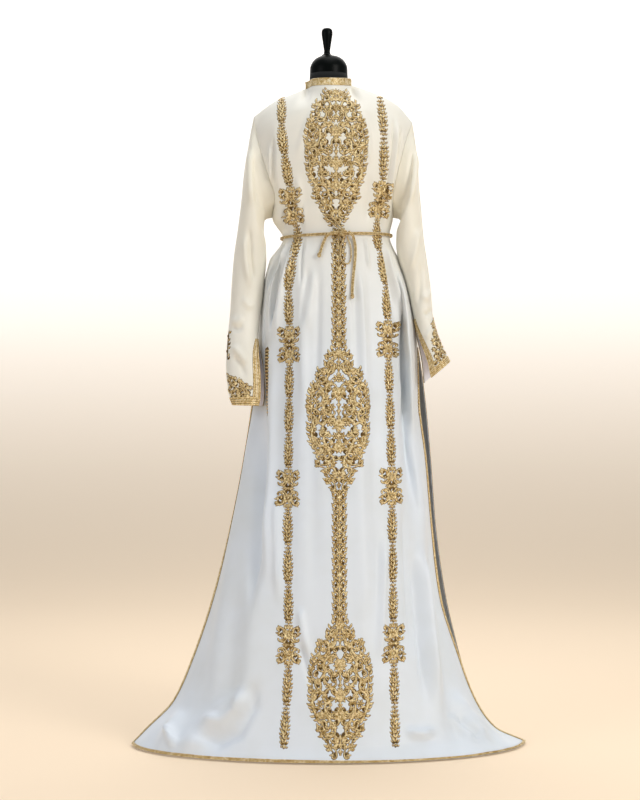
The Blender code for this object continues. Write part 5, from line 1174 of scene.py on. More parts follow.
def build_neck():
    """Neck band of braid standing on the neckline, and a fine braid along its top."""
    sweep = np.concatenate((np.linspace(-0.0016, -0.33, 60)[:-1], np.linspace(-0.33, 0.31, 120)[:-1],
                            np.linspace(0.31, 0.0016, 60)))
    part = np.concatenate((np.zeros(59), np.ones(119), np.full(60, 2)))
    edge = np.empty((len(sweep), 3))
    for number, front in ((0, True), (1, False), (2, True)):
        chosen = part == number
        places = sweep[chosen]
        edge[chosen] = bare_panel(places, np.zeros(places.shape), front)
    along = unit(np.gradient(edge, axis=0))
    inward = unit((np.array((FORM_X, 0.0, 0.0)) - edge) * np.array((1, 1, 0)))
    lean = inward * 0.12 + np.array((0, 0, 1.0))
    lean = unit(lean - np.sum(lean * along, axis=-1, keepdims=True) * along)
    outward = unit(np.cross(lean, along))
    share = np.linspace(0, 1, 25)
    bulge = 0.0007 * np.abs(np.sin(np.pi * share * 4)) + 0.0002
    outer = (edge[None] + inward[None] * 0.0006 + lean[None] * (NECK_BAND + 0.0008) * share[:, None, None]
             + outward[None] * bulge[:, None, None])
    inner = outer[::-1] - outward[None] * (0.0012 + bulge[::-1, None, None])
    wall = np.concatenate((outer, inner))
    count = len(sweep)
    ids = np.arange(50 * count).reshape(50, count)
    ids = np.concatenate((ids, ids[:1]))
    faces = np.stack((ids[:-1, :-1], ids[1:, :-1], ids[1:, 1:], ids[:-1, 1:]), axis=-1).reshape(-1, 4)
    ends = [ids[:50, 0][None, ::-1], ids[:50, -1][None]]
    run = np.cumsum(np.linalg.norm(np.diff(edge, axis=0, prepend=edge[:1]), axis=-1))
    uv = np.stack(np.broadcast_arrays(np.tile(share, 2)[:, None] * NECK_BAND, run[None]), axis=-1)
    faces = faces_out(wall, outward, [faces] + ends)
    piece("neck_sfifa", wall, faces, BRAID, ["neck_band"], uv)
    top = edge + inward * 0.0006 + lean * (NECK_BAND + 0.0024) - outward * 0.0006
    path = top[None, 2:-2]
    points, uv, faces = round_tubes(path, outward[None, 2:-2], 0.0014, 10)
    piece("neck_edge_sfifa", points, faces, BRAID, ["neck_edge_braid"], uv)


def faces_out(wall, outward, faces):
    """Turn a closed band's faces round if its outer skin's normals point inward."""
    first, second, third = wall[3, :-1], wall[4, :-1], wall[4, 1:]
    normal = np.cross(second - first, third - second)
    return [part[:, ::-1] for part in faces] if np.sum(normal * outward[:-1]) < 0 else faces


def build_knots():
    """Fourteen knots of cord down the front opening, each with a loop across both edges."""
    heights = np.linspace(1.440, 1.215, 28)[1::2]
    table = np.array(FRONT_SECTIONS)
    middle_x = smooth(-table[:, 1], (table[:, 2] + table[:, 5]) / 2, -heights)
    keys = np.concatenate(((-FRONT_NECK["z"][2],), -table[:, 1]))
    depth = smooth(keys, np.concatenate(((FRONT_NECK["y"][2],), table[:, 0])), -heights) + 0.0060
    centres = np.stack((middle_x, depth, heights), axis=-1)
    turns, sides = np.meshgrid(np.linspace(0.12, np.pi - 0.12, 9),
                               np.linspace(0, 2 * np.pi, 14, endpoint=False), indexing="ij")
    ball = np.stack((np.sin(turns) * np.cos(sides), np.sin(turns) * np.sin(sides), np.cos(turns)), axis=-1)
    ball = ball * (0.0044 * (1 + 0.06 * np.cos(3 * sides + 4 * turns)))[..., None]
    faces = [cells(9, 14, wrap=True), np.arange(14)[None], (np.arange(14) + 8 * 14)[None, ::-1]]
    s = np.linspace(-1, 1, 13)
    loop = np.stack((0.0135 * s, 0.0010 - 0.0042 * s ** 2, -0.0016 * np.sin(np.pi * s)), axis=-1)
    ahead = np.tile((0.0, 1.0, 0.0), (1, 13, 1))
    batches = []
    for centre in centres:
        batches.append((centre + ball, np.stack((sides, turns), axis=-1) * 0.0044, faces))
        batches.append(round_tubes((centre + loop)[None], ahead, 0.0012, 6))
    points, uv, faces = join_tubes(batches)
    piece("front_knots_and_loops", points, faces, BRAID, ["front_knots"], uv)


def turned(name, profile, axis_x, material, node, steps=96):
    """A turned solid: a smooth profile of radius and height, spun about an upright axis."""
    profile = np.array(profile, float)
    turn = np.linspace(0, 2 * np.pi, steps, endpoint=False)
    ring = np.stack((np.cos(turn), np.sin(turn)), axis=-1)
    flat = profile[:, 0, None, None] * ring[None]
    heights = np.broadcast_to(profile[:, 1, None, None], flat.shape[:2] + (1,))
    points = np.concatenate((flat, heights), axis=-1)
    points[..., 0] += axis_x
    faces = [cells(len(profile), steps, wrap=True), np.arange(steps)[None],
             (np.arange(steps) + (len(profile) - 1) * steps)[None, ::-1]]
    uv = np.stack(np.broadcast_arrays(turn[None] * 0.02, profile[:, 1, None]), axis=-1)
    return piece(name, points, faces, material, [node], uv, sharp=40)


def rounded(profile, count):
    """A profile with more points, joined smoothly."""
    profile = np.array(profile, float)
    return even_route(profile, np.linalg.norm(np.diff(profile, axis=0), axis=1).sum() / count)


def build_form():
    """The dress form: a smooth limbless torso, turned neck cap and finial, pole and round base."""
    heights = np.linspace(FORM_SECTIONS["z"][0], FORM_SECTIONS["z"][-1], 90)
    half, behind, ahead = (smooth(FORM_SECTIONS["z"], FORM_SECTIONS[key], heights)[:, None]
                           for key in ("half_x", "back_y", "front_y"))
    turn = np.linspace(0, 2 * np.pi, 96, endpoint=False)[None]
    depth = np.where(np.sin(turn) < 0, behind, ahead)
    up = np.broadcast_to(heights[:, None], depth.shape)
    points = np.stack((FORM_X + half * np.cos(turn), depth * np.sin(turn), up), axis=-1)
    faces = [cells(90, 96, wrap=True, flip=True), np.arange(96)[None, ::-1], (np.arange(96) + 89 * 96)[None]]
    uv = np.stack(np.broadcast_arrays(turn * 0.12, heights[:, None]), axis=-1)
    piece("form_torso_cover", points, faces, JERSEY, ["form_torso"], uv)
    cap = rounded(((0.0005, 1.620), (0.018, 1.6185), (0.032, 1.612), (0.0405, 1.602), (0.0445, 1.590),
                   (0.0450, 1.5753)), 28)
    turned("neck_cap_turned", cap, FORM_X, LACQUER, "neck_cap")
    finial = rounded(((0.0005, 1.686), (0.008, 1.685), (0.0125, 1.680), (0.0132, 1.673), (0.0115, 1.660),
                      (0.0085, 1.640), (0.0072, 1.630), (0.0085, 1.6240), (0.0125, 1.6208),
                      (0.0125, 1.6198)), 48)
    turned("finial_turned", finial, FINIAL_X, LACQUER, "finial")
    turned("stand_pole_tube", ((0.016, 0.8697), (0.016, 0.0143)), FORM_X, LACQUER,
           "stand_pole")
    turned("stand_base_plate", ((0.0005, 0.014), (0.10, 0.014), (0.159, 0.010), (0.165, 0.006), (0.165, 0.0)),
           0.0, LACQUER, "stand_base")
def vary(count, step):
    """Numbers between 0 and 1 that look random: fractions of multiples of an odd number."""
    return (np.arange(count) * step) % 1.0


def straight_turns(angle, hand, size, place, turn, count):
    """Lines whose heading is the angle plus hand times turn, each centred on its place: the points
    are the running sum of unit steps along the heading."""
    heading = angle[:, None] + hand[:, None] * turn[None]
    steps = np.stack((np.cos(heading), np.sin(heading)), axis=-1) / count
    path = np.cumsum(steps, axis=1) * size[:, None, None]
    return path - path.mean(axis=1, keepdims=True) + place[:, None]


def as_arrays(place, *values):
    """Places as (count, 2) and each value as one number for every place."""
    place = np.reshape(np.asarray(place, float), (-1, 2))
    return (place, *(np.broadcast_to(np.asarray(value, float), (len(place),)) for value in values))


def spirals(place, angle, size, hand, width=0.00105, height=0.0013, tone=0):
    """Small scrolls that curl tighter and tighter: the heading turns by 1.2 t plus 6.5 t cubed."""
    place, angle, size, hand = as_arrays(place, angle, size, hand)
    t = np.linspace(0, 1, 13)
    path = straight_turns(angle, hand, size, place, 1.2 * t + 6.5 * t ** 3, 13)
    thick = width * (0.45 + 0.75 * np.sin(np.pi * t ** 0.8)) * np.ones((len(place), 1))
    rise = height * np.ones((len(place), 13))
    rise[:, [0, -1]] = 0.0
    return path, thick, rise, tone


def c_scrolls(place, angle, size, hand, width=0.0015, height=0.0019, tone=0):
    """Scrolls that curl at both ends: with s from -1 to 1 the heading turns by 1.3 s plus 2.9 s cubed."""
    place, angle, size, hand = as_arrays(place, angle, size, hand)
    s = np.linspace(-1, 1, 25)
    path = straight_turns(angle, hand, size, place, 1.3 * s + 2.9 * s ** 3, 25)
    thick = width * (0.55 + 0.55 * (1 - s ** 2) + 0.35 * s ** 8) * np.ones((len(place), 1))
    rise = height * (0.75 + 0.25 * (1 - s ** 2)) * np.ones((len(place), 1))
    rise[:, [0, -1]] = 0.0
    return path, thick, rise, tone


def leaves(place, angle, size, width=0.26, height=0.0012, bend=0.0, tone=0):
    """Leaves that start at their places: half as wide as a sine of the length to the power 0.75, and
    bent sideways by a parabola."""
    place, angle, size, bend = as_arrays(place, angle, size, bend)
    t = np.linspace(0, 1, 6)
    heading = angle[:, None] + bend[:, None] * (t - 0.3)[None]
    steps = np.stack((np.cos(heading), np.sin(heading)), axis=-1) * (size / 5)[:, None, None]
    path = place[:, None] + np.cumsum(steps, axis=1) - steps[:, :1]
    thick = np.maximum(size[:, None] * width * np.sin(np.pi * t ** 0.75)[None], 0.00012)
    rise = height * np.sin(np.pi * t ** 0.8)[None] * np.ones((len(place), 1))
    return path, thick, rise, tone


def beads(place, radius, height=0.0015, tone=0):
    """Round domes: a line across the middle, as wide as the circle is there."""
    place, radius = as_arrays(place, radius)
    s = np.linspace(-1, 1, 5)
    path = place[:, None] + np.stack((0 * s, s), axis=-1)[None] * radius[:, None, None]
    disc = np.sqrt(np.clip(1 - s ** 2, 0.01, 1))
    return path, radius[:, None] * disc[None], height * disc[None] * np.ones((len(place), 1)), tone


def lines(path, width, height=0.0013, count=24, tone=0):
    """One stem along a smooth line, thinner at both ends."""
    length = np.linalg.norm(np.diff(np.array(path), axis=0), axis=1).sum()
    path = even_route(path, 1e-9 + length / (count - 1))
    t = np.linspace(0, 1, len(path))
    rise = np.full((1, len(path)), height)
    rise[:, [0, -1]] = 0.0
    return path[None], width * (0.5 + 0.5 * np.sin(np.pi * t))[None], rise, tone


def fan(place, angle, size, count, spread, width=0.24, height=0.0013, tone=0):
    """A palmette: leaves that spread evenly about an angle from one place, the middle one longest."""
    place, angle, size = as_arrays(place, angle, size)
    share = np.linspace(-1, 1, count)
    angles = (angle[:, None] + spread * share[None]).ravel()
    sizes = (size[:, None] * (1 - 0.35 * share ** 2)[None]).ravel()
    bends = np.tile(0.5 * share, len(place))
    return leaves(np.repeat(place, count, axis=0), angles, sizes, width, height, bends, tone)


def rosettes(place, size, petals=6, tone=0):
    """A ring of petals with a bead in the middle."""
    place, size = as_arrays(place, size)
    turn = np.linspace(0, 2 * np.pi, petals, endpoint=False)
    angles = np.tile(turn, len(place))
    around = np.repeat(place, petals, axis=0) + 0.12 * np.repeat(size, petals)[:, None] * np.stack(
        (np.cos(angles), np.sin(angles)), axis=-1)
    return [leaves(around, angles, 0.5 * np.repeat(size, petals), 0.30, 0.0013, tone=tone),
            beads(place, 0.17 * size, 0.0018)]


def pads(place, radius, tone=1, height=0.0005):
    """Low round stitching under the raised threads, in darker gilt that paints the shade between them."""
    return beads(place, radius, height, tone)


def mirrored(drawn, middle):
    """The same strokes again on the other side of an upright line."""
    flipped = []
    for path, thick, rise, tone in drawn:
        other = path * np.array((-1.0, 1.0)) + np.array((2 * middle, 0.0))
        flipped.append((np.concatenate((path, other)), np.concatenate((thick, thick)),
                        np.concatenate((rise, rise)), tone))
    return flipped


def medallion(middle, low, high, outline):
    """One large medallion, mirrored about its middle line: a field of scrolls, palmettes and rosettes
    in staggered rows inside the outline, openings of bare satin, large curled scrolls over it, a
    chain of lozenges and beads on the axis, and a fringe of leaves round the scalloped outline."""
    tall = high - low
    shares, widths = np.array(outline).T

    def half(z):
        """Half width of the field at a height."""
        return np.interp((z - low) / tall, shares, widths) - FRINGE

    rows = np.arange(low + 0.006, high - 0.005, FIELD_ROW)
    places, numbers = [], []
    for number, z in enumerate(rows):
        x = np.arange(FIELD_STEP / 2 if number % 2 else FIELD_STEP, half(z) - 0.0035, FIELD_STEP)
        places.append(np.stack((x, np.full(x.shape, z)), axis=-1))
        numbers.append(np.stack((np.arange(len(x)), np.full(x.shape, number)), axis=-1))
    places = np.concatenate(places)
    numbers = np.concatenate(numbers)
    bare = np.zeros(len(places), bool)
    for across, share, wide, high_half in OPENINGS:
        offset = places - np.array((across, low + share * tall))
        bare |= np.abs(offset[:, 0]) / (wide + 0.0030) + np.abs(offset[:, 1]) / (high_half + 0.0030) < 1
    places, numbers = places[~bare], numbers[~bare]
    count = len(places)
    kind = (numbers[:, 0] + 2 * numbers[:, 1]) % 5
    outward = np.arctan2(places[:, 1] - (low + 0.45 * tall), places[:, 0] + 0.02)
    wobble = (vary(count, 0.618) - 0.5) * 1.8
    shift = np.stack((vary(count, 0.37) - 0.5, vary(count, 0.83) - 0.5), axis=-1) * 0.0045
    at = places + shift + np.array((middle, 0.0))
    drawn = [pads(at, 0.0062 + 0.0014 * vary(count, 0.37))]
    first = kind == 0
    drawn.append(spirals(at[first], outward[first] + wobble[first], 0.044, 1, 0.0018, 0.0019))
    second = kind == 2
    drawn.append(spirals(at[second], outward[second] + wobble[second] + 2.0, 0.043, -1, 0.0018, 0.0019))
    third = kind == 1
    stalk = at[third] - np.array((0, 0.004))
    drawn.append(fan(stalk, outward[third] + wobble[third], 0.0148, 5, 1.1, 0.19, 0.0018))
    fourth = kind == 3
    drawn += rosettes(at[fourth], 0.0168, 6)
    fifth = kind == 4
    drawn.append(spirals(at[fifth], outward[fifth] + wobble[fifth] - 1.3, 0.040, -1, 0.0017, 0.0018))
    scrolls = np.array(LARGE_SCROLLS)
    fits = np.minimum(1.0, (half(low + scrolls[:, 1] * tall) + 0.001) / (scrolls[:, 0] + 0.022))
    spot = np.stack((middle + scrolls[:, 0] * fits, low + scrolls[:, 1] * tall), axis=-1)
    drawn.append(c_scrolls(spot, np.radians(scrolls[:, 2]), scrolls[:, 3], scrolls[:, 4], 0.0024, 0.0026))
    share = np.linspace(0.02, 0.99, int(tall / 0.0078))
    z = low + share * tall
    edge = half(z)
    slope = np.clip(np.gradient(edge, z), -1.6, 1.6)
    angle = np.arctan2(-slope, 1.0) + 0.45 + 0.5 * (vary(len(z), 0.618) - 0.5)
    start = np.stack((middle + edge - 0.0050, z), axis=-1)
    drawn.append(leaves(start, angle, 0.0095 + 0.0045 * vary(len(z), 0.37), 0.23, 0.0015, 0.9))
    drawn.append(pads(start[::2], 0.0042))
    border = np.stack((middle + edge - 0.0070 + 0.0012 * np.cos(share * 60), z), axis=-1)
    drawn.append(lines(border, 0.0013, 0.0018, 110))
    drawn = mirrored(drawn, middle)
    axis_z = np.arange(low + 0.006, high - 0.004, 0.0140)
    clear = np.ones(len(axis_z), bool)
    for across, share, wide, high_half in OPENINGS:
        if across == 0:
            clear &= np.abs(axis_z - low - share * tall) > high_half + 0.003
    spots = np.stack((np.full(axis_z.shape, middle), axis_z), axis=-1)[clear]
    drawn.append(fan(spots, np.pi / 2, 0.0128, 3, 0.62, 0.22, 0.0019))
    drawn.append(beads(spots - np.array((0.0, 0.0015)), 0.0022, 0.0023))
    big = np.array([(middle, low + tall * share) for share in (0.675, 0.455, 0.300)])
    drawn.append(pads(big, 0.012))
    drawn += rosettes(big, 0.026, 10)
    drawn.append(fan(np.array([(middle, low + 0.955 * tall)]), np.pi / 2, 0.017, 7, 1.25, 0.16, 0.0018))
    return drawn


def column(middle, low, high):
    """A column between two medallions: small urns end to end, each a pair of curled scrolls with a
    palmette in its mouth and leaves that stand out like spikes at both sides."""
    units = max(1, round((high - low) / 0.0255))
    z = low + (np.arange(units) + 0.5) * (high - low) / units
    at = np.stack((np.full(units, middle), z), axis=-1)
    right = np.array((1.0, 0.0))
    up = np.array((0.0, 1.0))
    drawn = [c_scrolls(at + 0.0074 * right - 0.002 * up, np.radians(84), 0.036, -1, 0.0018, 0.0021)]
    drawn.append(spirals(at + 0.0080 * right + 0.0095 * up, np.radians(60), 0.024, -1, 0.0013, 0.0017))
    for lift, size, angle in ((-0.0105, 0.0085, 28), (-0.0045, 0.0110, 40), (0.0020, 0.0100, 22),
                              (0.0085, 0.0075, 55)):
        drawn.append(leaves(at + 0.0100 * right + lift * up, np.radians(angle), size, 0.22, 0.0014, 0.7))
    drawn.append(pads(at + 0.0062 * right - 0.0040 * up, 0.0060))
    drawn.append(pads(at + 0.0050 * right + 0.0060 * up, 0.0044))
    drawn = mirrored(drawn, middle)
    drawn.append(fan(at - 0.0100 * up, np.pi / 2, 0.0150, 5, 0.9, 0.17, 0.0019))
    drawn.append(fan(at + 0.0030 * up, np.pi / 2, 0.0110, 3, 0.6, 0.20, 0.0019))
    drawn.append(beads(at + 0.0110 * up, 0.0025, 0.0024))
    drawn.append(beads(at - 0.0110 * up, 0.0021, 0.0022))
    return drawn


def turned_frame(path, z):
    """The points of a side column's middle line at heights z, and the angle it leans by."""
    keys = -np.array(PATH_Z)
    x = smooth(keys, path, -z)
    ahead = smooth(keys, path, -(z + 0.004))
    return np.stack((x, z), axis=-1), np.arctan2(x - ahead, 0.004)


def side_column(path, cartouches):
    """A side column: links like ears of wheat, end to end, and a cartouche of two lobes at places.
    Both are drawn upright about a middle line and then laid along the column's leaning path."""
    drawn = []
    upper = PATH_Z[0]
    for stop, wide in list(cartouches) + [(None, 0.0)]:
        lower = 0.030 if stop is None else stop + CARTOUCHE_LENGTH / 2
        units = max(1, round((upper - lower) / LINK_LENGTH))
        length = (upper - lower) / units
        for link in range(units):
            share = (np.arange(10) + 0.4) / 10
            z = upper - length * (link + 1 - share)
            half = 0.0034 + 0.0064 * np.sin(np.pi * np.clip(share * 0.94 + 0.03, 0, 1) ** 0.8) ** 0.8
            at, lean = turned_frame(path, z)
            for hand in (-1, 1):
                angle = np.pi / 2 + lean - hand * 0.62
                spread = angle + 0.5 * (vary(len(share), 0.618) - 0.5)
                drawn.append(leaves(at, spread, half * 1.30, 0.24, 0.0016, hand * 0.9))
                out = at + hand * np.stack((half * 0.55, 0 * half), axis=-1)
                drawn.append(pads(out[1:-1:2], 0.42 * half[1:-1:2] + 0.0010))
                size = half * 0.55 + 0.0030
                drawn.append(leaves(out, spread - hand * 0.45, size, 0.24, 0.0014, hand * 0.7))
            drawn.append(beads(at + np.array((0.0, 0.0012)), 0.0015, 0.0020))
            drawn.append(pads(at, 0.0030))
            twirl = at[2:-2:2]
            for hand in (-1, 1):
                drawn.append(spirals(twirl + hand * np.array((0.0050, 0.0020)), np.pi / 2 - hand * 0.4,
                                     0.0155, -hand, 0.0009, 0.0017))
        if stop is not None:
            drawn += cartouche(*turned_frame(path, np.array([stop])), wide)
            upper = stop - CARTOUCHE_LENGTH / 2
    return drawn


def cartouche(at, lean, wide):
    """Two lobes over each other, pinched between: in each a rosette between two large curled scrolls,
    with small scrolls at its corners and palmettes that stand out above and at the sides."""
    grow = wide / CARTOUCHE_WIDTH
    centre = at[0]
    sway = np.tan(lean[0])
    drawn = []
    for upward in (-1, 1):
        lobe = centre + LOBE_RISE * np.array((-sway * upward, upward))
        top = np.pi / 2 * upward
        tip = np.array((0.0, float(upward)))
        drawn.append(pads(lobe[None], 0.0105))
        drawn.append(fan((lobe + 0.0135 * tip)[None], top, 0.0125, 5, 1.1, 0.22, 0.0017))
        for hand in (-1, 1):
            out = np.array((hand * grow, 0.0))
            away = np.pi / 2 - hand * np.pi / 2
            turn = hand * upward
            drawn.append(pads((lobe + 0.0150 * out)[None], 0.0060))
            drawn.append(fan(lobe + 0.0130 * out - 0.0020 * tip, away, 0.0095, 3, 0.9, 0.24))
            for across, up, radius in ((0.0195, 0.0120, 0.0058), (0.0120, -0.0120, 0.0052),
                                       (0.0100, 0.0090, 0.0056), (0.0050, -0.0140, 0.0050)):
                drawn.append(pads((lobe + across * out + up * tip)[None], radius))
            drawn.append(spirals(lobe + 0.0100 * out + 0.0085 * tip, np.pi / 2 - hand * 0.8, 0.020, turn,
                                 0.0011, 0.0016))
            drawn.append(leaves(lobe + 0.0070 * out - 0.0110 * tip, turn * 0.5 - top, 0.0095, 0.25, 0.0016))
            drawn.append(c_scrolls(lobe + 0.0150 * out + 0.001 * tip, np.pi / 2, 0.064, -hand,
                                   0.0021, 0.0023))
            drawn.append(spirals(lobe + 0.0200 * out + 0.0130 * tip, top - turn * 0.6, 0.034, -turn,
                                 0.0015, 0.0018))
            drawn.append(spirals(lobe + 0.0125 * out - 0.0125 * tip, turn * 0.6 - top, 0.028, turn,
                                 0.0014, 0.0017))
            drawn.append(fan(lobe + 0.0195 * out + 0.002 * tip, away + 0.2 * turn, 0.0100, 3, 0.8, 0.24))
            drawn.append(fan(lobe + 0.0180 * out + 0.0135 * tip, top - turn * 0.7, 0.0095, 3, 0.7, 0.24))
            drawn.append(leaves(lobe + 0.0060 * out + 0.0120 * tip, top - turn * 0.3, 0.0105, 0.25, 0.0016))
        drawn += rosettes(lobe[None], 0.0235, 9)
    drawn.append(pads(centre[None], 0.0070))
    drawn.append(fan(centre + np.array([(0.002 * grow, 0.0), (-0.002 * grow, 0.0)]), np.array((0.0, np.pi)),
                     0.0135, 3, 0.5, 0.22, 0.0017))
    drawn.append(beads(centre[None], 0.0028, 0.0024))
    return drawn


def stroke_batches(drawn, surface, sink=0.0003):
    """Every stroke as a low ridge on a surface: at each point its cross section is a trapezium with
    its feet a little under the cloth. Bright strokes have a lower, wider one in darker gilt under
    them, which shows as their outline and paints the shade round them."""
    batches, tones = [], []
    # Each bright stroke gets a wider, lower copy in darker gilt: painted shade round its edge
    under = [(path, thick + OUTLINE, rise * 0.42, 1) for path, thick, rise, tone in drawn if tone == 0]
    for path, thick, rise, tone in drawn + under:
        tangent = unit(np.gradient(path, axis=1))
        side = np.stack((-tangent[..., 1], tangent[..., 0]), axis=-1)
        flat = path[:, :, None] + side[:, :, None] * (thick[..., None] * STROKE_OFFSETS)[..., None]
        lift = rise[..., None] * STROKE_HEIGHTS - sink * (STROKE_HEIGHTS == 0)
        points, normals = surface(flat[..., 0], flat[..., 1])
        points = points + normals * lift[..., None]
        count, stations = path.shape[:2]
        offsets = (np.arange(count) * stations * 4)[:, None, None]
        faces = (cells(stations, 4)[None] + offsets).reshape(-1, 4)
        run = np.cumsum(np.linalg.norm(np.diff(path, axis=1, prepend=path[:, :1]), axis=-1), axis=1)
        uv = np.stack(np.broadcast_arrays(thick[..., None] * STROKE_OFFSETS, run[..., None]), axis=-1)
        batches.append((points, uv, [faces]))
        tones.append(np.full(len(faces), tone))
    return batches, np.concatenate(tones)


def relief(name, drawn, surface, nodes, bright=GOLD):
    """A piece of raised embroidery from strokes, in a bright thread and darker gilt that paints shade."""
    batches, tones = stroke_batches(drawn, surface)
    points, uv, faces = join_tubes(batches)
    item = piece(name, points, faces, bright, nodes, uv)
    item.data.materials.append(DARK_GOLD)
    item.data.polygons.foreach_set("material_index", tones.astype(np.int32))
    return item


def grid_lookup(x_range, z_range, spacing, find, sample):
    """A function from x and z to points and normals: find gives the two coordinates of the surface on
    a regular grid, and each asked place is read between its four neighbours."""
    xs = np.arange(x_range[0], x_range[1] + spacing[0], spacing[0])
    zs = np.arange(z_range[0], z_range[1] + spacing[1], spacing[1])
    grid_x, grid_z = np.meshgrid(xs, zs)
    table = np.stack(find(grid_x, grid_z), axis=-1)

    def surface(x, z):
        """Points and normals of the surface at x and z."""
        column = np.clip((x - xs[0]) / spacing[0], 0, len(xs) - 1.001)
        row = np.clip((z - zs[0]) / spacing[1], 0, len(zs) - 1.001)
        return sample(*np.moveaxis(between_cells(table, row, column), -1, 0))

    return surface


def between_cells(table, row, column):
    """Values of a table between its rows and columns, each weighted by its nearness."""
    low_row, low_column = row.astype(int), column.astype(int)
    part_row, part_column = (row - low_row)[..., None], (column - low_column)[..., None]
    upper = table[low_row, low_column] * (1 - part_column) + table[low_row, low_column + 1] * part_column
    lower = table[low_row + 1, low_column] * (1 - part_column)
    lower = lower + table[low_row + 1, low_column + 1] * part_column
    return upper * (1 - part_row) + lower * part_row


def cloth_surface(grids):
    """The back panel's surface as a function of x and z, read from the cloth's own grid."""
    columns, rows = grids["back"]
    points, normals = grids["back_points"]
    both = np.concatenate((points, normals), axis=-1)

    def sample(across, down):
        """Point and normal between the grid's own points."""
        column = np.interp(across, columns[0], np.arange(columns.shape[1]) * 0.9999999)
        row = np.interp(down, rows[:, 0], np.arange(rows.shape[0]) * 0.9999999)
        row = np.minimum(row, rows.shape[0] - 1.001)
        found = between_cells(both, row, np.minimum(column, columns.shape[1] - 1.001))
        return found[..., :3], unit(found[..., 3:])

    return grid_lookup((-0.160, 0.200), (0.010, 1.545), (0.006, 0.008), place_on_back, sample)


def build_embroidery(grids):
    """Three medallions and two columns down the middle, and a column over each shoulder."""
    surface = cloth_surface(grids)
    for name, middle, low, high, outline in (
            ("medallion_upper", 0.0135, 1.2010, 1.5310, UPPER_OUTLINE),
            ("medallion_middle", 0.0190, 0.5970, 0.9180, MIDDLE_OUTLINE),
            ("medallion_lower", 0.0210, 0.0160, 0.3010, MIDDLE_OUTLINE)):
        relief(name + "_scrolls", medallion(middle, low, high, outline), surface, [name])
    for name, middle, low, high in (
            ("column_upper", 0.0195, 0.9186, 1.1990),
            ("column_lower", 0.0200, 0.3012, 0.5964)):
        relief(name + "_scrolls", column(middle, low, high), surface, [name])
    for name, path, cartouches in (
            ("side_column_left", LEFT_PATH, LEFT_CARTOUCHES),
            ("side_column_right", RIGHT_PATH, RIGHT_CARTOUCHES)):
        relief(name + "_scrolls", side_column(path, cartouches), surface, [name])
    heights = -np.array([section[1] for section in BACK_SECTIONS])
    keys = section_keys(False)[2:]

    def right_side(x, z):
        """The back panel's right edge, with x as the distance in from it over the front."""
        return panel(np.clip(1 + x / 0.30, 0.9, 0.999), np.interp(-z, heights, keys), False)

    for name, x, place in (("left", -0.1450, surface), ("right", -0.0085, right_side)):
        drawn = []
        for z in np.arange(0.770, 0.918, 0.0080):
            drawn.append(lines(LADDER_RIB + np.array((x, z)), 0.0026, 0.0020, 7))
        base = np.array([(x, z) for z in np.arange(0.767, 0.919, 0.0036)])
        drawn.append(pads(base, 0.0066, 1, 0.0004))
        relief("slit_ladder_%s_ribs" % name, drawn, place, ["slit_ladder_" + name], BRAID)


def wedge(corners, rows, columns, hand):
    """A wedge of scrolls above a cuff: places spread between its four corners, each with a scroll,
    a palmette or a leaf in turn, and a fringe of leaves along its upper edge."""
    upper_outer, upper_inner, lower_inner, lower_outer = (np.array(corner) for corner in corners)
    across, up = np.meshgrid((np.arange(columns) + 0.5) / columns, (np.arange(rows) + 0.5) / rows)
    across, up = (across + 0.25 / columns * (-1.0) ** np.arange(rows)[:, None]).ravel(), up.ravel()
    low = lower_outer + (lower_inner - lower_outer) * across[:, None]
    high = upper_outer + (upper_inner - upper_outer) * across[:, None]
    at = low + (high - low) * up[:, None]
    turn = 2 * np.pi * vary(len(at), 0.618)
    kind = np.arange(len(at)) % 3
    drawn = [pads(at, 0.0046)]
    drawn.append(spirals(at[kind == 0], turn[kind == 0], 0.030, 1, 0.0013, 0.0016))
    drawn.append(spirals(at[kind == 1], turn[kind == 1], 0.030, -1, 0.0013, 0.0016))
    drawn.append(fan(at[kind == 2], turn[kind == 2], 0.0095, 5, 1.3, 0.20, 0.0015))
    share = (np.arange(9) + 0.5) / 9
    edge = upper_outer + (upper_inner - upper_outer) * share[:, None]
    angle = np.pi / 2 - hand * 0.5 + 0.6 * np.sin(9 * share)
    drawn.append(leaves(edge - np.array((0.0, 0.003)), angle, 0.0095, 0.24))
    return drawn


def build_cuff_embroidery():
    """A wedge of scrolls above each cuff, and on the left sleeve a fine sprig up the outer edge."""
    for side, name, x_range, z_range in ((-1, "left", (-0.246, -0.176), (0.784, 0.975)),
                                         (1, "right", (0.218, 0.284), (0.850, 1.005))):
        surface = grid_lookup(x_range, z_range, (0.0025, 0.0025), lambda x, z: place_on_sleeve(side, x, z),
                              lambda share, down: sleeve(side, share, down))
        drawn = wedge(CUFF_WEDGES[side], 5 if side < 0 else 11, 6 if side < 0 else 3, side)
        if side < 0:
            stem = np.stack((np.array((-0.2400, -0.2400, -0.2395, -0.2385, -0.2370)),
                             np.array((0.894, 0.910, 0.928, 0.946, 0.964))), axis=-1)
            drawn.append(lines(stem, 0.0013, 0.0013, 16, 1))
            drawn.append(leaves(stem[:-1], np.array((0.9, 2.0, 0.8, 1.9)), 0.0110, 0.24, 0.0013, 0.5, 1))
            low = stem[1:] - np.array((0, 0.008))
            drawn.append(leaves(low, np.array((1.0, 0.7, 1.1, 0.9)), 0.0085, 0.26))
        relief("cuff_scrolls_" + name, drawn, surface, ["cuff_embroidery_" + name])


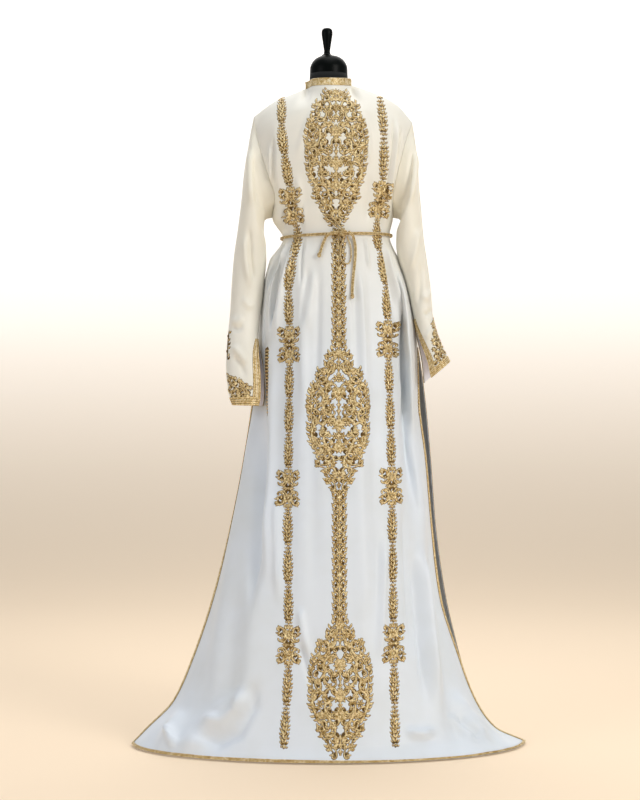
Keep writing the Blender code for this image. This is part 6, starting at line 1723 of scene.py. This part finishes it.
def build_stage():
    """A floor that curves up into a backdrop and glows, more strongly higher up, as painted light; and large
    soft lights round the form.
    """
    bend = np.linspace(0.05, np.pi / 2, 14)
    rows = np.concatenate((np.linspace(-3.2, FLOOR_END, 12),
                           FLOOR_END + (WALL_PLACE - FLOOR_END) * np.sin(bend), np.full(8, WALL_PLACE)))
    rise = np.concatenate((np.zeros(12), BEND_RISE - BEND_RISE * np.cos(bend), np.linspace(3.5, 7.0, 8)))
    across, depth = np.meshgrid(np.linspace(-6.5, 6.5, 14), rows)
    points = np.stack((across, depth, np.broadcast_to(rise[:, None], across.shape)), axis=-1)
    mesh = bpy.data.meshes.new("studio_floor")
    mesh.from_pydata(points.reshape(-1, 3).tolist(), [], cells(*across.shape, flip=True).tolist())
    mesh.shade_smooth()
    material, tree, shader = new_material("studio_floor_painted_glow", Roughness=0.9)
    place = add(tree, "ShaderNodeTexCoord")
    height = add(tree, "ShaderNodeSeparateXYZ", links={"Vector": place.outputs["Object"]}).outputs["Z"]
    share = add(tree, "ShaderNodeMapRange", values={"From Min": 0.0, "From Max": 6.0},
                links={"Value": height})
    # Colour from peach on the floor to white higher up; it also glows, more with height: painted light
    tone = ramp(tree, share.outputs["Result"],
                ((0.0, "#F2DCC0"), (0.227, "#FAF1E6"), (0.52, "#FEFBF8"), (1.0, "#FFFFFF")))
    tree.links.new(tone, shader.inputs["Base Color"])
    tree.links.new(tone, shader.inputs["Emission Color"])
    glow = add(tree, "ShaderNodeMapRange",
               values={"From Min": 0.0, "From Max": 2.0, "To Min": 0.11, "To Max": 0.86},
               links={"Value": height})
    tree.links.new(glow.outputs["Result"], shader.inputs["Emission Strength"])
    mesh.materials.append(material)
    floor = bpy.data.objects.new("studio_floor", mesh)
    bpy.context.scene.collection.objects.link(floor)
    # Lights as name, place, diameter, watts and colour, all turned to the middle of the garment
    for name, place, size, power, colour in (
            ("key_light", (2.9, -3.0, 2.6), 1.9, 82.0, "#FFFCF6"),
            ("fill_light", (-3.3, -2.6, 1.7), 2.6, 33.0, "#F6F6FA"),
            ("top_light", (0.2, -0.4, 3.9), 2.0, 24.0, "#FFFFFF"),
            ("backdrop_light", (0.0, 1.6, 3.2), 3.4, 46.0, "#FFFAF4")):
        data = bpy.data.lights.new(name, "AREA")
        data.shape = "DISK"
        data.size = size
        data.energy = power
        data.color = linear(colour)[:3]
        light = bpy.data.objects.new(name, data)
        light.location = place
        aim = np.array((0.0, 0.0, 0.8)) - np.array(place)
        light.rotation_euler = Vector(aim.tolist()).to_track_quat("-Z", "Y").to_euler()
        bpy.context.scene.collection.objects.link(light)
    world = bpy.data.worlds.new("studio_air")
    world.use_nodes = True
    world.node_tree.nodes["Background"].inputs["Color"].default_value = linear("#E9F0F8")
    world.node_tree.nodes["Background"].inputs["Strength"].default_value = 0.42
    bpy.context.scene.world = world
    bpy.context.scene.view_settings.view_transform = "Standard"


def main():
    """Camera and cords first, then the cloth and all that is sewn to it, the form, and the stage."""
    build_camera()
    build_cords()
    build_belt()
    build_form()
    grids = build_panels()
    build_sleeves()
    build_edge_braids(grids)
    build_cuffs()
    build_neck()
    build_knots()
    build_embroidery(grids)
    build_cuff_embroidery()
    build_stage()


main()
